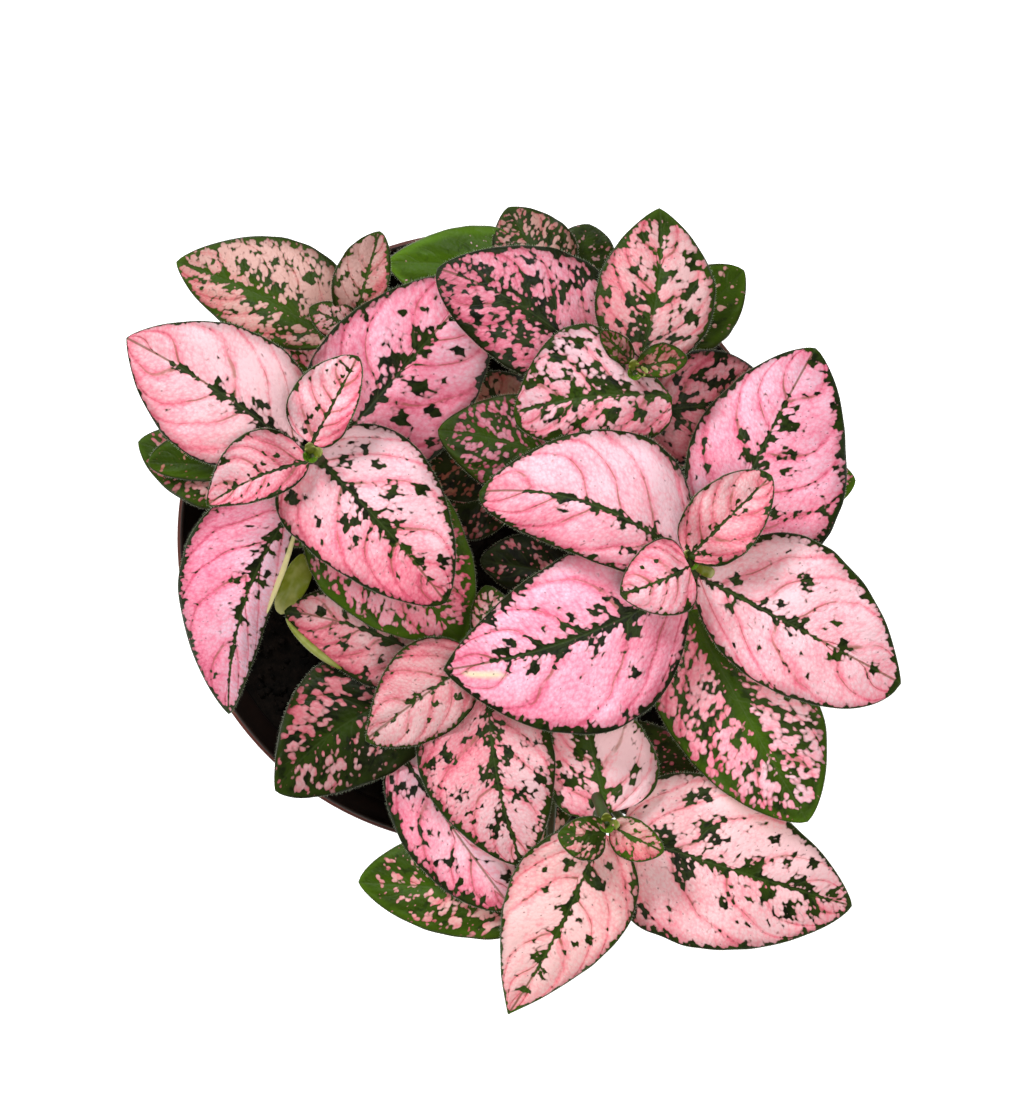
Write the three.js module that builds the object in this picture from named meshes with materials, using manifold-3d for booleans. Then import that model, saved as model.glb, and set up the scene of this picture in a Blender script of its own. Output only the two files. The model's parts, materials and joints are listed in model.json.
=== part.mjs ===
// A potted polka dot plant: a round nursery pot, its soil, and nine leafy stems of pink and green leaves.
// Millimetres, +Z up. The origin is the middle of the pot's underside, and +Y is the far side seen from above.
import * as THREE from "three";
import { mergeVertices } from "three/addons/utils/BufferGeometryUtils.js";
import Module from "manifold-3d";

const wasm = await Module();
wasm.setup();

// Pot
const POT_HEIGHT = 95;
const RIM_RADIUS = 60;
const BASE_RADIUS = 43;
const WALL = 1.3;
const FLOOR = 2.2;
const LIP_HEIGHT = 9;
const LIP_STEP = 1.2;
const LIP_TAPER = 1.4;
const EDGE_ROUNDING = 0.8;
const NECK_HEIGHT = POT_HEIGHT - LIP_HEIGHT;
const NECK_RADIUS = RIM_RADIUS - LIP_TAPER - LIP_STEP;
const POT_SIDES = 36;
const DRAIN_HOLES = 6;
const DRAIN_RADIUS = 3.5;
const DRAIN_CIRCLE = 34;

// Soil
const CLEARANCE = 0.3;
const SOIL_DROP = 9.5;
const SOIL_TOP = POT_HEIGHT - SOIL_DROP;
const SOIL_RELIEF = 1.1;
const ROOT_DEPTH = 16;

// Stems and leaves
const STEM_RADIUS = 1.6;
const STEM_SIDES = 6;
const STEM_LEAN = 1.3;
const STEM_STEPS = 6;
const PETIOLE_STEPS = 2;
const PETIOLE_RADIUS = 0.95;
const PETIOLE_SIDES = 5;
const STALK_DROP = 2;
const STALK_SLOPE = 0.35;
const STALK_SHARE = 0.16;
const BLADE_THICKNESS = 0.9;
const LARGE_LEAF = 24;
const LARGE_ROWS = 7;
const SMALL_ROWS = 6;
const WAVE_HEIGHT = 0.7;
const WAVE_COUNT = 2.3;

// Each leaf: base and tip [x, y, height over the rim]; for its left and its right half, seen from the
// base, [half-width, where along the leaf it is widest, fullness]; sideways bow of the midrib; arch;
// and how far the left and the right margin rise over the midrib.
const STEMS = [
  {
    name: "stem_left",
    root: [-14, 5],
    top: [-30.5, 14.5, 58],
    leaves: [
      [[-33, 15.5, 54], [-64.5, 36, 50], [12.5, 0.46, 1.7], [13, 0.36, 1.2], -1, 3, [-1, 1]],
      [[-31, 15, 54], [-6.7, -12, 46], [14, 0.32, 1], [13, 0.28, 0.9], 1, 4, [-2, -1]],
      [[-30.5, 16.5, 58], [-22, 32, 62], [7.5, 0.37, 1], [4.5, 0.36, 1], 0, 0, [2, 2]],
      [[-31, 13.5, 58], [-49.5, 5.5, 56], [4.5, 0.4, 1.6], [8, 0.37, 1.3], -1, 1, [1, 2]],
      [[-33, 7.5, 45], [-48.5, -33.5, 18], [4.6, 0.5, 1.4], [14, 0.34, 1.2], -3.5, 5, [-7, -2]],
      [[-26, 17.5, 45], [0.5, 48.5, 33], [14.5, 0.32, 1], [15, 0.32, 1], 0, 4, [-1, -7.5]],
      [[-29, 10.5, 39], [-4, -19.5, 33], [15, 0.4, 1.1], [13.5, 0.4, 1.4], 0, 2, [-1, -1]],
      [[-36, 8.5, 33], [-65, 18, 25], [8, 0.52, 1.6], [8, 0.42, 1.2], 0, 2, [-1, -1]],
      [[-39.5, 13, 37], [-62.5, 14, 31], [3.2, 0.55, 1.1], [6.5, 0.5, 1.2], 0, 1, [-1, 0]],
      [[-24, 8, 18], [-50, 6, 10], [9, 0.42, 1.3], [9, 0.42, 1.3], 0, 2, [-1, -1]],
    ],
  },
  {
    name: "stem_right",
    root: [16, -4],
    top: [37, -4.5, 63],
    leaves: [
      [[36, -4.2, 60], [-0.6, 8, 56], [9.5, 0.43, 1], [14.7, 0.34, 1.1], -4.2, 4, [-2, -1]],
      [[38.5, -7, 60], [75.5, -26.5, 52], [15.2, 0.4, 1.5], [12, 0.5, 1.1], 0, 4, [-1, -2]],
      [[36.5, -3.7, 65], [51, 10.7, 68], [7, 0.43, 1], [6.4, 0.4, 1.2], 0, 1, [2, 2]],
      [[36.7, -5.3, 66], [24.5, -10.4, 61.5], [7, 0.3, 1], [7, 0.3, 1], 0.3, 3, [-2, -2]],
      [[36.5, -8.7, 52], [-7.2, -24.2, 47], [18, 0.43, 1.4], [14.7, 0.34, 1.3], 2.4, 4, [-2, -2]],
      [[42, -2, 51], [61, 34.7, 41], [12.2, 0.43, 1.3], [18, 0.32, 1.1], 0.7, 4, [-2, -3]],
      [[38, -13.3, 42.5], [59.7, -52.4, 39], [13, 0.5, 1.5], [14, 0.37, 1.1], -0.5, 2, [-1, -1]],
      [[49, 9, 27], [70, 10.8, 24], [6, 0.5, 1.3], [6, 0.5, 1.3], 0, 1, [-1, -1]],
      [[22, -8, 22], [-0.8, -4.2, 20], [6, 0.42, 1.2], [7, 0.5, 1.4], 0, 1, [-1, -1]],
      [[31, -9, 22], [62, -20, 15], [9, 0.42, 1.3], [9, 0.42, 1.3], 0, 2, [-1, -1]],
    ],
  },
  {
    name: "stem_upper",
    root: [11, 5],
    top: [27.3, 29.3, 57],
    leaves: [
      [[27.6, 29.5, 55], [32, 59.6, 49], [10.8, 0.45, 1.6], [10.8, 0.43, 1.4], -1.6, 3, [-1, -1]],
      [[34, 25, 56], [5.5, 22.2, 52], [9, 0.4, 0.8], [13, 0.55, 1.9], -1.6, 2, [-3, 1]],
      [[26.7, 31.2, 58], [21, 36.6, 60], [2.2, 0.42, 1.2], [2.4, 0.42, 1.2], 0, 0, [1, 1]],
      [[27.3, 30.1, 58], [36.7, 31.7, 59], [3.6, 0.49, 1.4], [2.6, 0.45, 1.2], 0, 1, [1, 1]],
      [[21.2, 29.9, 49], [-8.3, 48.9, 46], [10.6, 0.45, 1.2], [13.4, 0.3, 1], -2.3, 3, [-1, -1]],
      [[27, 22.5, 44], [54, 25.5, 37], [10.5, 0.5, 1.4], [10.5, 0.4, 1.2], 0, 3, [-1, -2]],
      [[34, 35, 33], [48.8, 50.1, 27], [7.5, 0.5, 1.3], [6.5, 0.43, 1.4], 0, 1, [-1, -1]],
      [[21.4, 11.4, 42.5], [-8.3, 19.6, 42.5], [10.5, 0.36, 1.1], [10.5, 0.34, 1], -1.3, 1, [-1, -1]],
      [[20, 14, 15], [46, 25, 9], [8, 0.42, 1.3], [8, 0.42, 1.3], 0, 2, [-1, -1]],
    ],
  },
  {
    name: "stem_bottom",
    root: [10, -20],
    top: [22.6, -52.3, 46],
    leaves: [
      [[21.8, -54, 42], [4.5, -89.5, 26], [11.1, 0.3, 1.5], [12, 0.37, 1.6], 0.9, 5, [-1, -2]],
      [[25, -54.5, 36], [69.2, -69.2, 25], [15.2, 0.3, 1.1], [16.2, 0.34, 1.1], 0, 5, [-1, -1]],
      [[22.4, -53.8, 47], [13.5, -54.2, 49], [4.9, 0.36, 1], [3.4, 0.34, 1], 0, 1, [0, 0]],
      [[23.3, -52.5, 47], [32.9, -57.2, 48], [3.3, 0.36, 1], [4.3, 0.42, 1.2], 0, 1, [0, 0]],
      [[22.6, -51, 40], [16.4, -26.7, 37], [9.3, 0.3, 1.3], [11.3, 0.3, 1], -0.5, 2, [-5, -2]],
      [[14.5, -67, 22], [-24, -65.5, 16], [9.6, 0.42, 1.3], [10.6, 0.5, 1.4], 0, 2, [-1, -1]],
      [[20, -38, 16], [46, -54, 9], [9, 0.42, 1.3], [9, 0.42, 1.3], 0, 2, [-1, -1]],
      [[16, -40, 12], [4, -62, 7], [7, 0.42, 1.3], [7, 0.42, 1.3], 0, 1, [-1, -1]],
    ],
  },
  {
    name: "stem_front",
    root: [-2, -13],
    top: [0, -24, 43],
    leaves: [
      [[0.9, -26.6, 40], [7.3, -60.7, 37], [11.1, 0.4, 1.3], [14.1, 0.32, 1], -1.6, 3, [-1, -1]],
      [[-0.6, -22.1, 43], [-21.6, -37.3, 42], [8.1, 0.47, 1.4], [9.3, 0.37, 1.6], -0.4, 1, [-1, -1]],
      [[2.5, -20.7, 40], [0.5, -8.8, 37], [4, 0.42, 1.2], [4.5, 0.42, 1.2], 0, 1, [-1, -1]],
      [[-2, -22, 13], [-8, -46, 7], [8, 0.42, 1.3], [8, 0.42, 1.3], 0, 1, [-1, -1]],
    ],
  },
  {
    name: "stem_front_left",
    root: [-11, -19],
    top: [-12.3, -30, 31],
    leaves: [
      [[-13, -29, 27], [-39.7, -48, 18], [12.5, 0.37, 1.1], [12.2, 0.3, 1.2], -2.8, 2, [-1, -1]],
      [[-17, -38.5, 22], [5.3, -69.5, 26], [9, 0.45, 1.2], [9.5, 0.5, 1.2], -0.3, 2, [-1, -1]],
      [[-11.5, -22, 29], [-37.3, -13.7, 28], [9.5, 0.3, 1], [9, 0.36, 1.2], -1.3, 1, [-1, -1]],
      [[-15, -31, 8], [-31, -43, 3], [6, 0.42, 1.3], [6, 0.42, 1.3], 0, 1, [-1, -1]],
    ],
  },
  {
    name: "stem_back_left",
    root: [-14, 19],
    top: [-25.5, 38, 34],
    leaves: [
      [[-27.7, 36.2, 31], [-58, 52, 23], [8, 0.48, 1.6], [12.7, 0.32, 1.1], -1.4, 3, [-1, -1]],
      [[-24.4, 38.5, 33], [-19.1, 56.6, 36], [6, 0.46, 1.4], [4.6, 0.4, 1], 0, 1, [1, 1]],
      [[-22.5, 38.1, 34], [-32.4, 42.6, 33], [3.8, 0.42, 1.2], [3.4, 0.42, 1.2], 0, 1, [0, 0]],
      [[-20, 30, 13], [-46, 34, 7], [8, 0.42, 1.3], [8, 0.42, 1.3], 0, 1, [-1, -1]],
    ],
  },
  {
    name: "stem_back",
    root: [4, 24],
    top: [11, 47, 30],
    leaves: [
      [[9.6, 50.4, 27], [-18.5, 52.3, 20], [9, 0.42, 1.3], [7.6, 0.36, 1.3], 0, 2, [-1, -1]],
      [[13, 46, 30], [4.5, 62.2, 24], [7.5, 0.42, 1.2], [8.2, 0.4, 1.3], 0, 2, [-1, -1]],
      [[16, 46, 26], [20, 59.4, 20], [6.5, 0.42, 1.2], [7.2, 0.5, 1.2], 0, 2, [-1, -1]],
      [[6, 42, 11], [-15, 44, 5], [7, 0.42, 1.3], [7, 0.42, 1.3], 0, 1, [-1, -1]],
    ],
  },
  {
    name: "stem_middle",
    root: [1, 6],
    top: [7.5, 12, 26],
    leaves: [
      [[5, 8.5, 19], [-12, 4.2, 14], [7, 0.42, 1.2], [7, 0.42, 1.2], 0, 1, [-1, -1]],
      [[8, 19, 24], [-1, 31, 20], [7, 0.42, 1.2], [7, 0.42, 1.2], 0, 1, [-1, -1]],
      [[3.5, 13.5, 24], [-14, 14, 20], [7, 0.42, 1.2], [7, 0.42, 1.2], 0, 1, [-1, -1]],
    ],
  },
];

const POT_COLOUR = 0x6b2f1f;
const SOIL_COLOUR = 0x17110d;
const LEAF_COLOUR = 0xf3a9bd;

// A closed geometry as a solid: only its positions count, and equal ones are merged.
function solidFrom(geometry) {
  const bare = new THREE.BufferGeometry();
  bare.setAttribute("position", geometry.getAttribute("position"));
  bare.setIndex(geometry.index);
  const merged = mergeVertices(bare, 1e-4);
  const vertProperties = merged.getAttribute("position").array;
  const triVerts = new Uint32Array(merged.index.array);
  return new wasm.Manifold(new wasm.Mesh({ numProp: 3, vertProperties, triVerts }));
}

function geometryFrom(solid) {
  const mesh = solid.getMesh();
  const geometry = new THREE.BufferGeometry();
  geometry.setAttribute("position", new THREE.BufferAttribute(mesh.vertProperties, mesh.numProp));
  geometry.setIndex(new THREE.BufferAttribute(mesh.triVerts, 1));
  const flat = geometry.toNonIndexed();
  flat.computeVertexNormals();
  return flat;
}

function namedMesh(name, geometry, color, roughness) {
  const material = new THREE.MeshStandardMaterial({ color, roughness, metalness: 0 });
  const mesh = new THREE.Mesh(geometry, material);
  mesh.name = name;
  return mesh;
}

// An upright cylinder from one height to another.
function uprightCylinder(x, y, radius, bottom, top, sides) {
  const cylinder = new THREE.CylinderGeometry(radius, radius, top - bottom, sides);
  cylinder.rotateX(Math.PI / 2);
  cylinder.translate(x, y, (bottom + top) / 2);
  return solidFrom(cylinder);
}

// A solid of revolution about Z from a profile of [radius, height] points.
function turned(profile, sides) {
  const points = profile.map(([radius, height]) => new THREE.Vector2(radius, height));
  const lathe = new THREE.LatheGeometry(points, sides);
  lathe.rotateX(Math.PI / 2);
  return lathe;
}

function makePot() {
  const profile = [
    [0, 0],
    [BASE_RADIUS - 2 * EDGE_ROUNDING, 0],
    [BASE_RADIUS, 2 * EDGE_ROUNDING],
    [NECK_RADIUS, NECK_HEIGHT - LIP_STEP],
    [RIM_RADIUS - LIP_TAPER, NECK_HEIGHT],
    [RIM_RADIUS, POT_HEIGHT - EDGE_ROUNDING],
    [RIM_RADIUS - EDGE_ROUNDING / 2, POT_HEIGHT],
    [RIM_RADIUS - WALL, POT_HEIGHT],
    [RIM_RADIUS - LIP_TAPER - WALL, NECK_HEIGHT + EDGE_ROUNDING],
    [NECK_RADIUS - WALL, NECK_HEIGHT - LIP_STEP],
    [BASE_RADIUS - WALL, FLOOR + EDGE_ROUNDING],
    [BASE_RADIUS - WALL - EDGE_ROUNDING, FLOOR],
    [0, FLOOR],
  ];
  let pot = solidFrom(turned(profile, POT_SIDES));
  for (let i = 0; i < DRAIN_HOLES; i++) {
    const angle = (2 * Math.PI * i) / DRAIN_HOLES;
    const x = DRAIN_CIRCLE * Math.cos(angle);
    const y = DRAIN_CIRCLE * Math.sin(angle);
    pot = pot.subtract(uprightCylinder(x, y, DRAIN_RADIUS, -1, FLOOR + 1, 10));
  }
  return pot;
}

// The lumpy height of the soil's surface at a place.
function soilHeight(x, y) {
  const coarse = Math.sin(0.21 * x + 1.3) * Math.cos(0.17 * y - 0.4);
  const fine = 0.6 * Math.sin(0.43 * x - 0.31 * y + 2);
  return SOIL_TOP + SOIL_RELIEF * (coarse + fine);
}

function makeSoil() {
  const topRadius = NECK_RADIUS - WALL - CLEARANCE;
  const rings = [0.8, 0.5, 0.2].map((share) => [share * topRadius, SOIL_TOP]);
  const profile = [
    [0, FLOOR + CLEARANCE],
    [BASE_RADIUS - WALL - 2 * EDGE_ROUNDING, FLOOR + CLEARANCE],
    [topRadius - CLEARANCE / 2, NECK_HEIGHT - 2 * LIP_STEP],
    [topRadius, SOIL_TOP],
    ...rings,
    [0, SOIL_TOP],
  ];
  const lathe = turned(profile, POT_SIDES);
  const position = lathe.getAttribute("position");
  for (let i = 0; i < position.count; i++) {
    const x = position.getX(i);
    const y = position.getY(i);
    const onTop = position.getZ(i) > SOIL_TOP - 0.1 && Math.hypot(x, y) < topRadius - 0.1;
    if (onTop) position.setZ(i, soilHeight(x, y));
  }
  let soil = solidFrom(lathe);
  for (const { root } of STEMS) {
    const hole = uprightCylinder(...root, STEM_RADIUS + CLEARANCE, SOIL_TOP - ROOT_DEPTH, POT_HEIGHT, 8);
    soil = soil.subtract(hole);
  }
  return soil;
}

// A stem leans out more and more on its way from the soil to its top.
class StemCurve extends THREE.Curve {
  constructor(stem) {
    super();
    this.root = new THREE.Vector3(...stem.root, SOIL_TOP + 2);
    this.top = new THREE.Vector3(stem.top[0], stem.top[1], POT_HEIGHT + stem.top[2]);
  }
  getPoint(t, target = new THREE.Vector3()) {
    const lean = Math.pow(t, STEM_LEAN);
    const height = this.root.z + (this.top.z - this.root.z) * t;
    return target.lerpVectors(this.root, this.top, lean).setZ(height);
  }
  atHeight(height) {
    const t = (height - this.root.z) / (this.top.z - this.root.z);
    return this.getPoint(THREE.MathUtils.clamp(t, 0, 1));
  }
}

function tube(curve, radius, sides, steps) {
  const corners = [];
  for (let i = 0; i < sides; i++) {
    const angle = (2 * Math.PI * i) / sides;
    corners.push(new THREE.Vector2(radius * Math.cos(angle), radius * Math.sin(angle)));
  }
  const options = { steps, extrudePath: curve, bevelEnabled: false };
  return solidFrom(new THREE.ExtrudeGeometry(new THREE.Shape(corners), options));
}

// A leaf's measures from its row in the list.
function readLeaf([base, tip, left, right, bow, arch, rise], index) {
  const from = new THREE.Vector3(base[0], base[1], POT_HEIGHT + base[2]);
  const to = new THREE.Vector3(tip[0], tip[1], POT_HEIGHT + tip[2]);
  const across = new THREE.Vector3(from.y - to.y, to.x - from.x, 0).normalize();
  const length = from.distanceTo(to);
  return { from, to, across, length, left, right, bow, arch, rise, phase: 1.7 * index };
}

// Half-width at a share u of the length, for [half-width, belly, fullness].
function halfWidth([width, belly, fullness], u) {
  const towardsBase = Math.pow(u / belly, fullness * belly);
  const towardsTip = Math.pow((1 - u) / (1 - belly), fullness * (1 - belly));
  return width * towardsBase * towardsTip;
}

// A point of the blade's middle surface: u runs from base to tip, v from the right margin -1 to the left 1.
function bladePoint(leaf, u, v) {
  const half = v > 0 ? leaf.left : leaf.right;
  const rise = v > 0 ? leaf.rise[0] : leaf.rise[1];
  const belly = 4 * u * (1 - u);
  const fade = Math.min(1, 3 * u, 3 * (1 - u));
  const sideways = leaf.bow * belly + v * halfWidth(half, u);
  const wave = WAVE_HEIGHT * v * v * Math.sin(2 * Math.PI * WAVE_COUNT * u + leaf.phase + Math.sign(v));
  const point = new THREE.Vector3().lerpVectors(leaf.from, leaf.to, u);
  point.addScaledVector(leaf.across, sideways);
  point.z += leaf.arch * belly + fade * (rise * Math.pow(Math.abs(v), 1.5) + wave);
  return point;
}

// A thin closed blade. Its upper and under face are split into triangles alike.
function bladeSolid(leaf) {
  const large = leaf.length > LARGE_LEAF;
  const rows = large ? LARGE_ROWS : SMALL_ROWS;
  const places = large ? [1, 0.5, 0, -0.5, -1] : [1, 0, -1];
  const count = places.length;
  const ringSize = 2 * count;
  const thickness = BLADE_THICKNESS / 2;
  const positions = [...leaf.from.toArray()];
  for (let row = 1; row < rows; row++) {
    const u = 0.5 - 0.5 * Math.cos((Math.PI * row) / rows);
    const across = places.map((v) => bladePoint(leaf, u, v));
    for (const p of across) positions.push(p.x, p.y, p.z + thickness);
    for (const p of across) positions.push(p.x, p.y, p.z - thickness);
  }
  positions.push(...leaf.to.toArray());
  const last = positions.length / 3 - 1;
  const triangles = [];
  const at = (row, place, under) => 1 + (row - 1) * ringSize + place + (under ? count : 0);
  for (const under of [false, true]) {
    const add = (a, b, c) => triangles.push(...(under ? [a, c, b] : [a, b, c]));
    for (let place = 0; place + 1 < count; place++) {
      add(0, at(1, place + 1, under), at(1, place, under));
      add(last, at(rows - 1, place, under), at(rows - 1, place + 1, under));
      for (let row = 1; row + 1 < rows; row++) {
        const near = [at(row, place, under), at(row, place + 1, under)];
        const far = [at(row + 1, place, under), at(row + 1, place + 1, under)];
        add(near[0], near[1], far[0]);
        add(near[1], far[1], far[0]);
      }
    }
  }
  // The two margins
  for (const place of [0, count - 1]) {
    const add = (a, b, c) => triangles.push(...(place ? [a, c, b] : [a, b, c]));
    add(0, at(1, place, false), at(1, place, true));
    add(last, at(rows - 1, place, true), at(rows - 1, place, false));
    for (let row = 1; row + 1 < rows; row++) {
      add(at(row, place, false), at(row + 1, place, false), at(row, place, true));
      add(at(row + 1, place, false), at(row + 1, place, true), at(row, place, true));
    }
  }
  const geometry = new THREE.BufferGeometry();
  geometry.setAttribute("position", new THREE.Float32BufferAttribute(positions, 3));
  geometry.setIndex(triangles);
  return solidFrom(geometry);
}

// The leaf's stalk leaves the stem below the leaf, the lower the further away the leaf is, and runs
// under the midrib.
function petioleSolid(leaf, stem) {
  const reach = leaf.from.distanceTo(stem.atHeight(leaf.from.z));
  const start = stem.atHeight(leaf.from.z - STALK_DROP - STALK_SLOPE * reach);
  const end = bladePoint(leaf, STALK_SHARE, 0);
  const bend = leaf.from.clone();
  end.z -= 0.8 * PETIOLE_RADIUS;
  bend.z -= PETIOLE_RADIUS;
  return tube(new THREE.QuadraticBezierCurve3(start, bend, end), PETIOLE_RADIUS, PETIOLE_SIDES, PETIOLE_STEPS);
}

function leafyStem(stem) {
  const curve = new StemCurve(stem);
  let solid = tube(curve, STEM_RADIUS, STEM_SIDES, STEM_STEPS);
  const bottom = SOIL_TOP - ROOT_DEPTH + CLEARANCE;
  solid = solid.add(uprightCylinder(...stem.root, STEM_RADIUS, bottom, SOIL_TOP + 3, STEM_SIDES));
  stem.leaves.map(readLeaf).forEach((leaf) => {
    solid = solid.add(bladeSolid(leaf)).add(petioleSolid(leaf, curve));
  });
  return solid.simplify(0.05);
}

const plant = new THREE.Group();
plant.name = "potted_polka_dot_plant";
plant.add(namedMesh("pot", geometryFrom(makePot()), POT_COLOUR, 0.55));
plant.add(namedMesh("soil", geometryFrom(makeSoil()), SOIL_COLOUR, 0.95));
for (const stem of STEMS) {
  plant.add(namedMesh(stem.name, geometryFrom(leafyStem(stem)), LEAF_COLOUR, 0.6));
}

export default plant;
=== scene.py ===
"""The looks of a potted polka dot plant: nine leafy stems with pink leaves that are blotched and edged in
dark green, near-black soil and a round red-brown nursery pot, on a pale floor, seen from above."""
import json
import math
import random
from typing import NamedTuple

import bpy
import numpy as np
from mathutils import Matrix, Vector, noise

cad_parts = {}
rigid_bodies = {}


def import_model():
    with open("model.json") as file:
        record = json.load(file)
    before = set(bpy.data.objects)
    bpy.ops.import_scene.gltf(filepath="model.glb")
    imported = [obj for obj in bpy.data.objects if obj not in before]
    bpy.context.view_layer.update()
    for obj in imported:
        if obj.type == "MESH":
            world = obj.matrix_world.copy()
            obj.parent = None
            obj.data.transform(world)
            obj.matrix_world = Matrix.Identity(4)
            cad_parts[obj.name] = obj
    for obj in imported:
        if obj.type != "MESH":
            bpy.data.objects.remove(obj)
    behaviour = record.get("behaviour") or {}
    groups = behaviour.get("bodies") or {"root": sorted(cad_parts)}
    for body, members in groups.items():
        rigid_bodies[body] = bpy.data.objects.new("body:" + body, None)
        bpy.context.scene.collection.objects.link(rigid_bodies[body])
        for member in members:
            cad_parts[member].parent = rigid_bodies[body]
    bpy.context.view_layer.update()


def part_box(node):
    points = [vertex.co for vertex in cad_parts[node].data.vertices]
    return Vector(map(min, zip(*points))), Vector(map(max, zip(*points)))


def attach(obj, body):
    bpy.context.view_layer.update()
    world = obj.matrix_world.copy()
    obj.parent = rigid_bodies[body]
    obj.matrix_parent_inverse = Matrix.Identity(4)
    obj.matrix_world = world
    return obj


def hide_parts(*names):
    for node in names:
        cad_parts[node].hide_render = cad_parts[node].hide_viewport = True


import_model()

# Millimetres hold the plant's sizes here, and MM turns them into Blender's metres.
MM = 0.001
POT_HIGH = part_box("pot")[1] / MM
RIM_HEIGHT = POT_HIGH.z
RIM_RADIUS = POT_HIGH.x
SOIL_DROP = 9.5
SOIL_TOP = RIM_HEIGHT - SOIL_DROP
ROOT_DEPTH = 16
UP = np.array([0, 0, 1.0])

# Blades
ROWS_PER_MM = 1.45
COLUMNS_PER_MM = 1.35
FINEST = 2.5
CROWDING = 0.45
BLADE_TOP = 0.2
BLADE_UNDER = 0.2
WAVE_HEIGHT = 0.7
WAVE_COUNT = 2.3
ROUGH_HEIGHT = 0.55
QUILT_HEIGHT = 0.65
GROOVE_DEPTH, GROOVE_WIDTH = 0.55, 1.1
RIB_HEIGHT, RIB_WIDTH = 0.5, 0.7
VEIN_HEIGHT, VEIN_WIDTH = 0.1, 0.4
VEIN_SPACING = 0.215
VEIN_LEAN = 0.2
VEIN_HOOK = 0.22
VEIN_UNEVEN = 0.22
TIP_STRONGER = 0.4
# Painted shade: blades are drawn darker near their base, where upper leaves shade them, near their tip, and
# along the margin, which turns down away from the lights.
BASE_PAINTED_SHADE, TIP_PAINTED_SHADE, MARGIN_PAINTED_SHADE = 0.3, 0.2, 0.5
HAIR_SPACING = 0.3
HAIR_LENGTH = 0.5
HAIR_DEPTH = 0.15
HAIR_THICKNESS = 0.035

# Stems and stalks
STEM_RADIUS = 1.6
STEM_LEAN = 1.3
STEM_TAPER = 0.42
STEM_STEPS = 46
STEM_SIDES = 14
KNOT_HEIGHT, KNOT_SWELLING = 1.6, 0.35
STALK_SIDES = 10
STALK_RADIUS = 0.95
STALK_DROP = 2
STALK_SLOPE = 0.35
STALK_SHARE = 0.16
BUD_REACHES = 2.3, 2.3, 1.5, 1.5
BUD_HEIGHT = 2.6
BUD_HALF = 1.0, 0.45, 1.2


class Look(NamedTuple):
    """How a leaf is marked. Widths are in millimetres. A spot has its share of the length, its share of the
    half-width with left positive, and its radius, all three in hundredths."""
    tone: float  # 0 palest pink to 1 strong pink
    green: float  # 0 dark blue-green to 1 fresh green
    rib: tuple = (1.2, 0.9)  # the green midrib's half-width, and the share of the leaf that it runs over
    veins: tuple = (0.5, 0.3)  # the same for the side veins, with the share of the half-width
    rim: tuple = (1, 1)  # width of the green margin, left and right
    cover: float = -0.1  # how readily green blots show, from -1 for none over 0 for half to 1 for all
    painted_shade: float = 0  # painted shade: how much darker and duller the leaf is drawn, for a leaf that lies in shade
    warm: float = 0  # how far its pink goes to tan
    drift: tuple = (0, 0)  # how much stronger its pink gets from base to tip, and from midrib to left margin
    grain: float = 1  # size of the blots
    tip: float = 1.5  # how far the tip is green
    specks: float = 0.2  # how many tiny dark dots
    bleach: tuple = ()  # pale yellow streak: where it starts and ends, share of the half-width, half-width
    blots: tuple = ()  # green spots
    patches: tuple = ()  # pink spots


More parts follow.
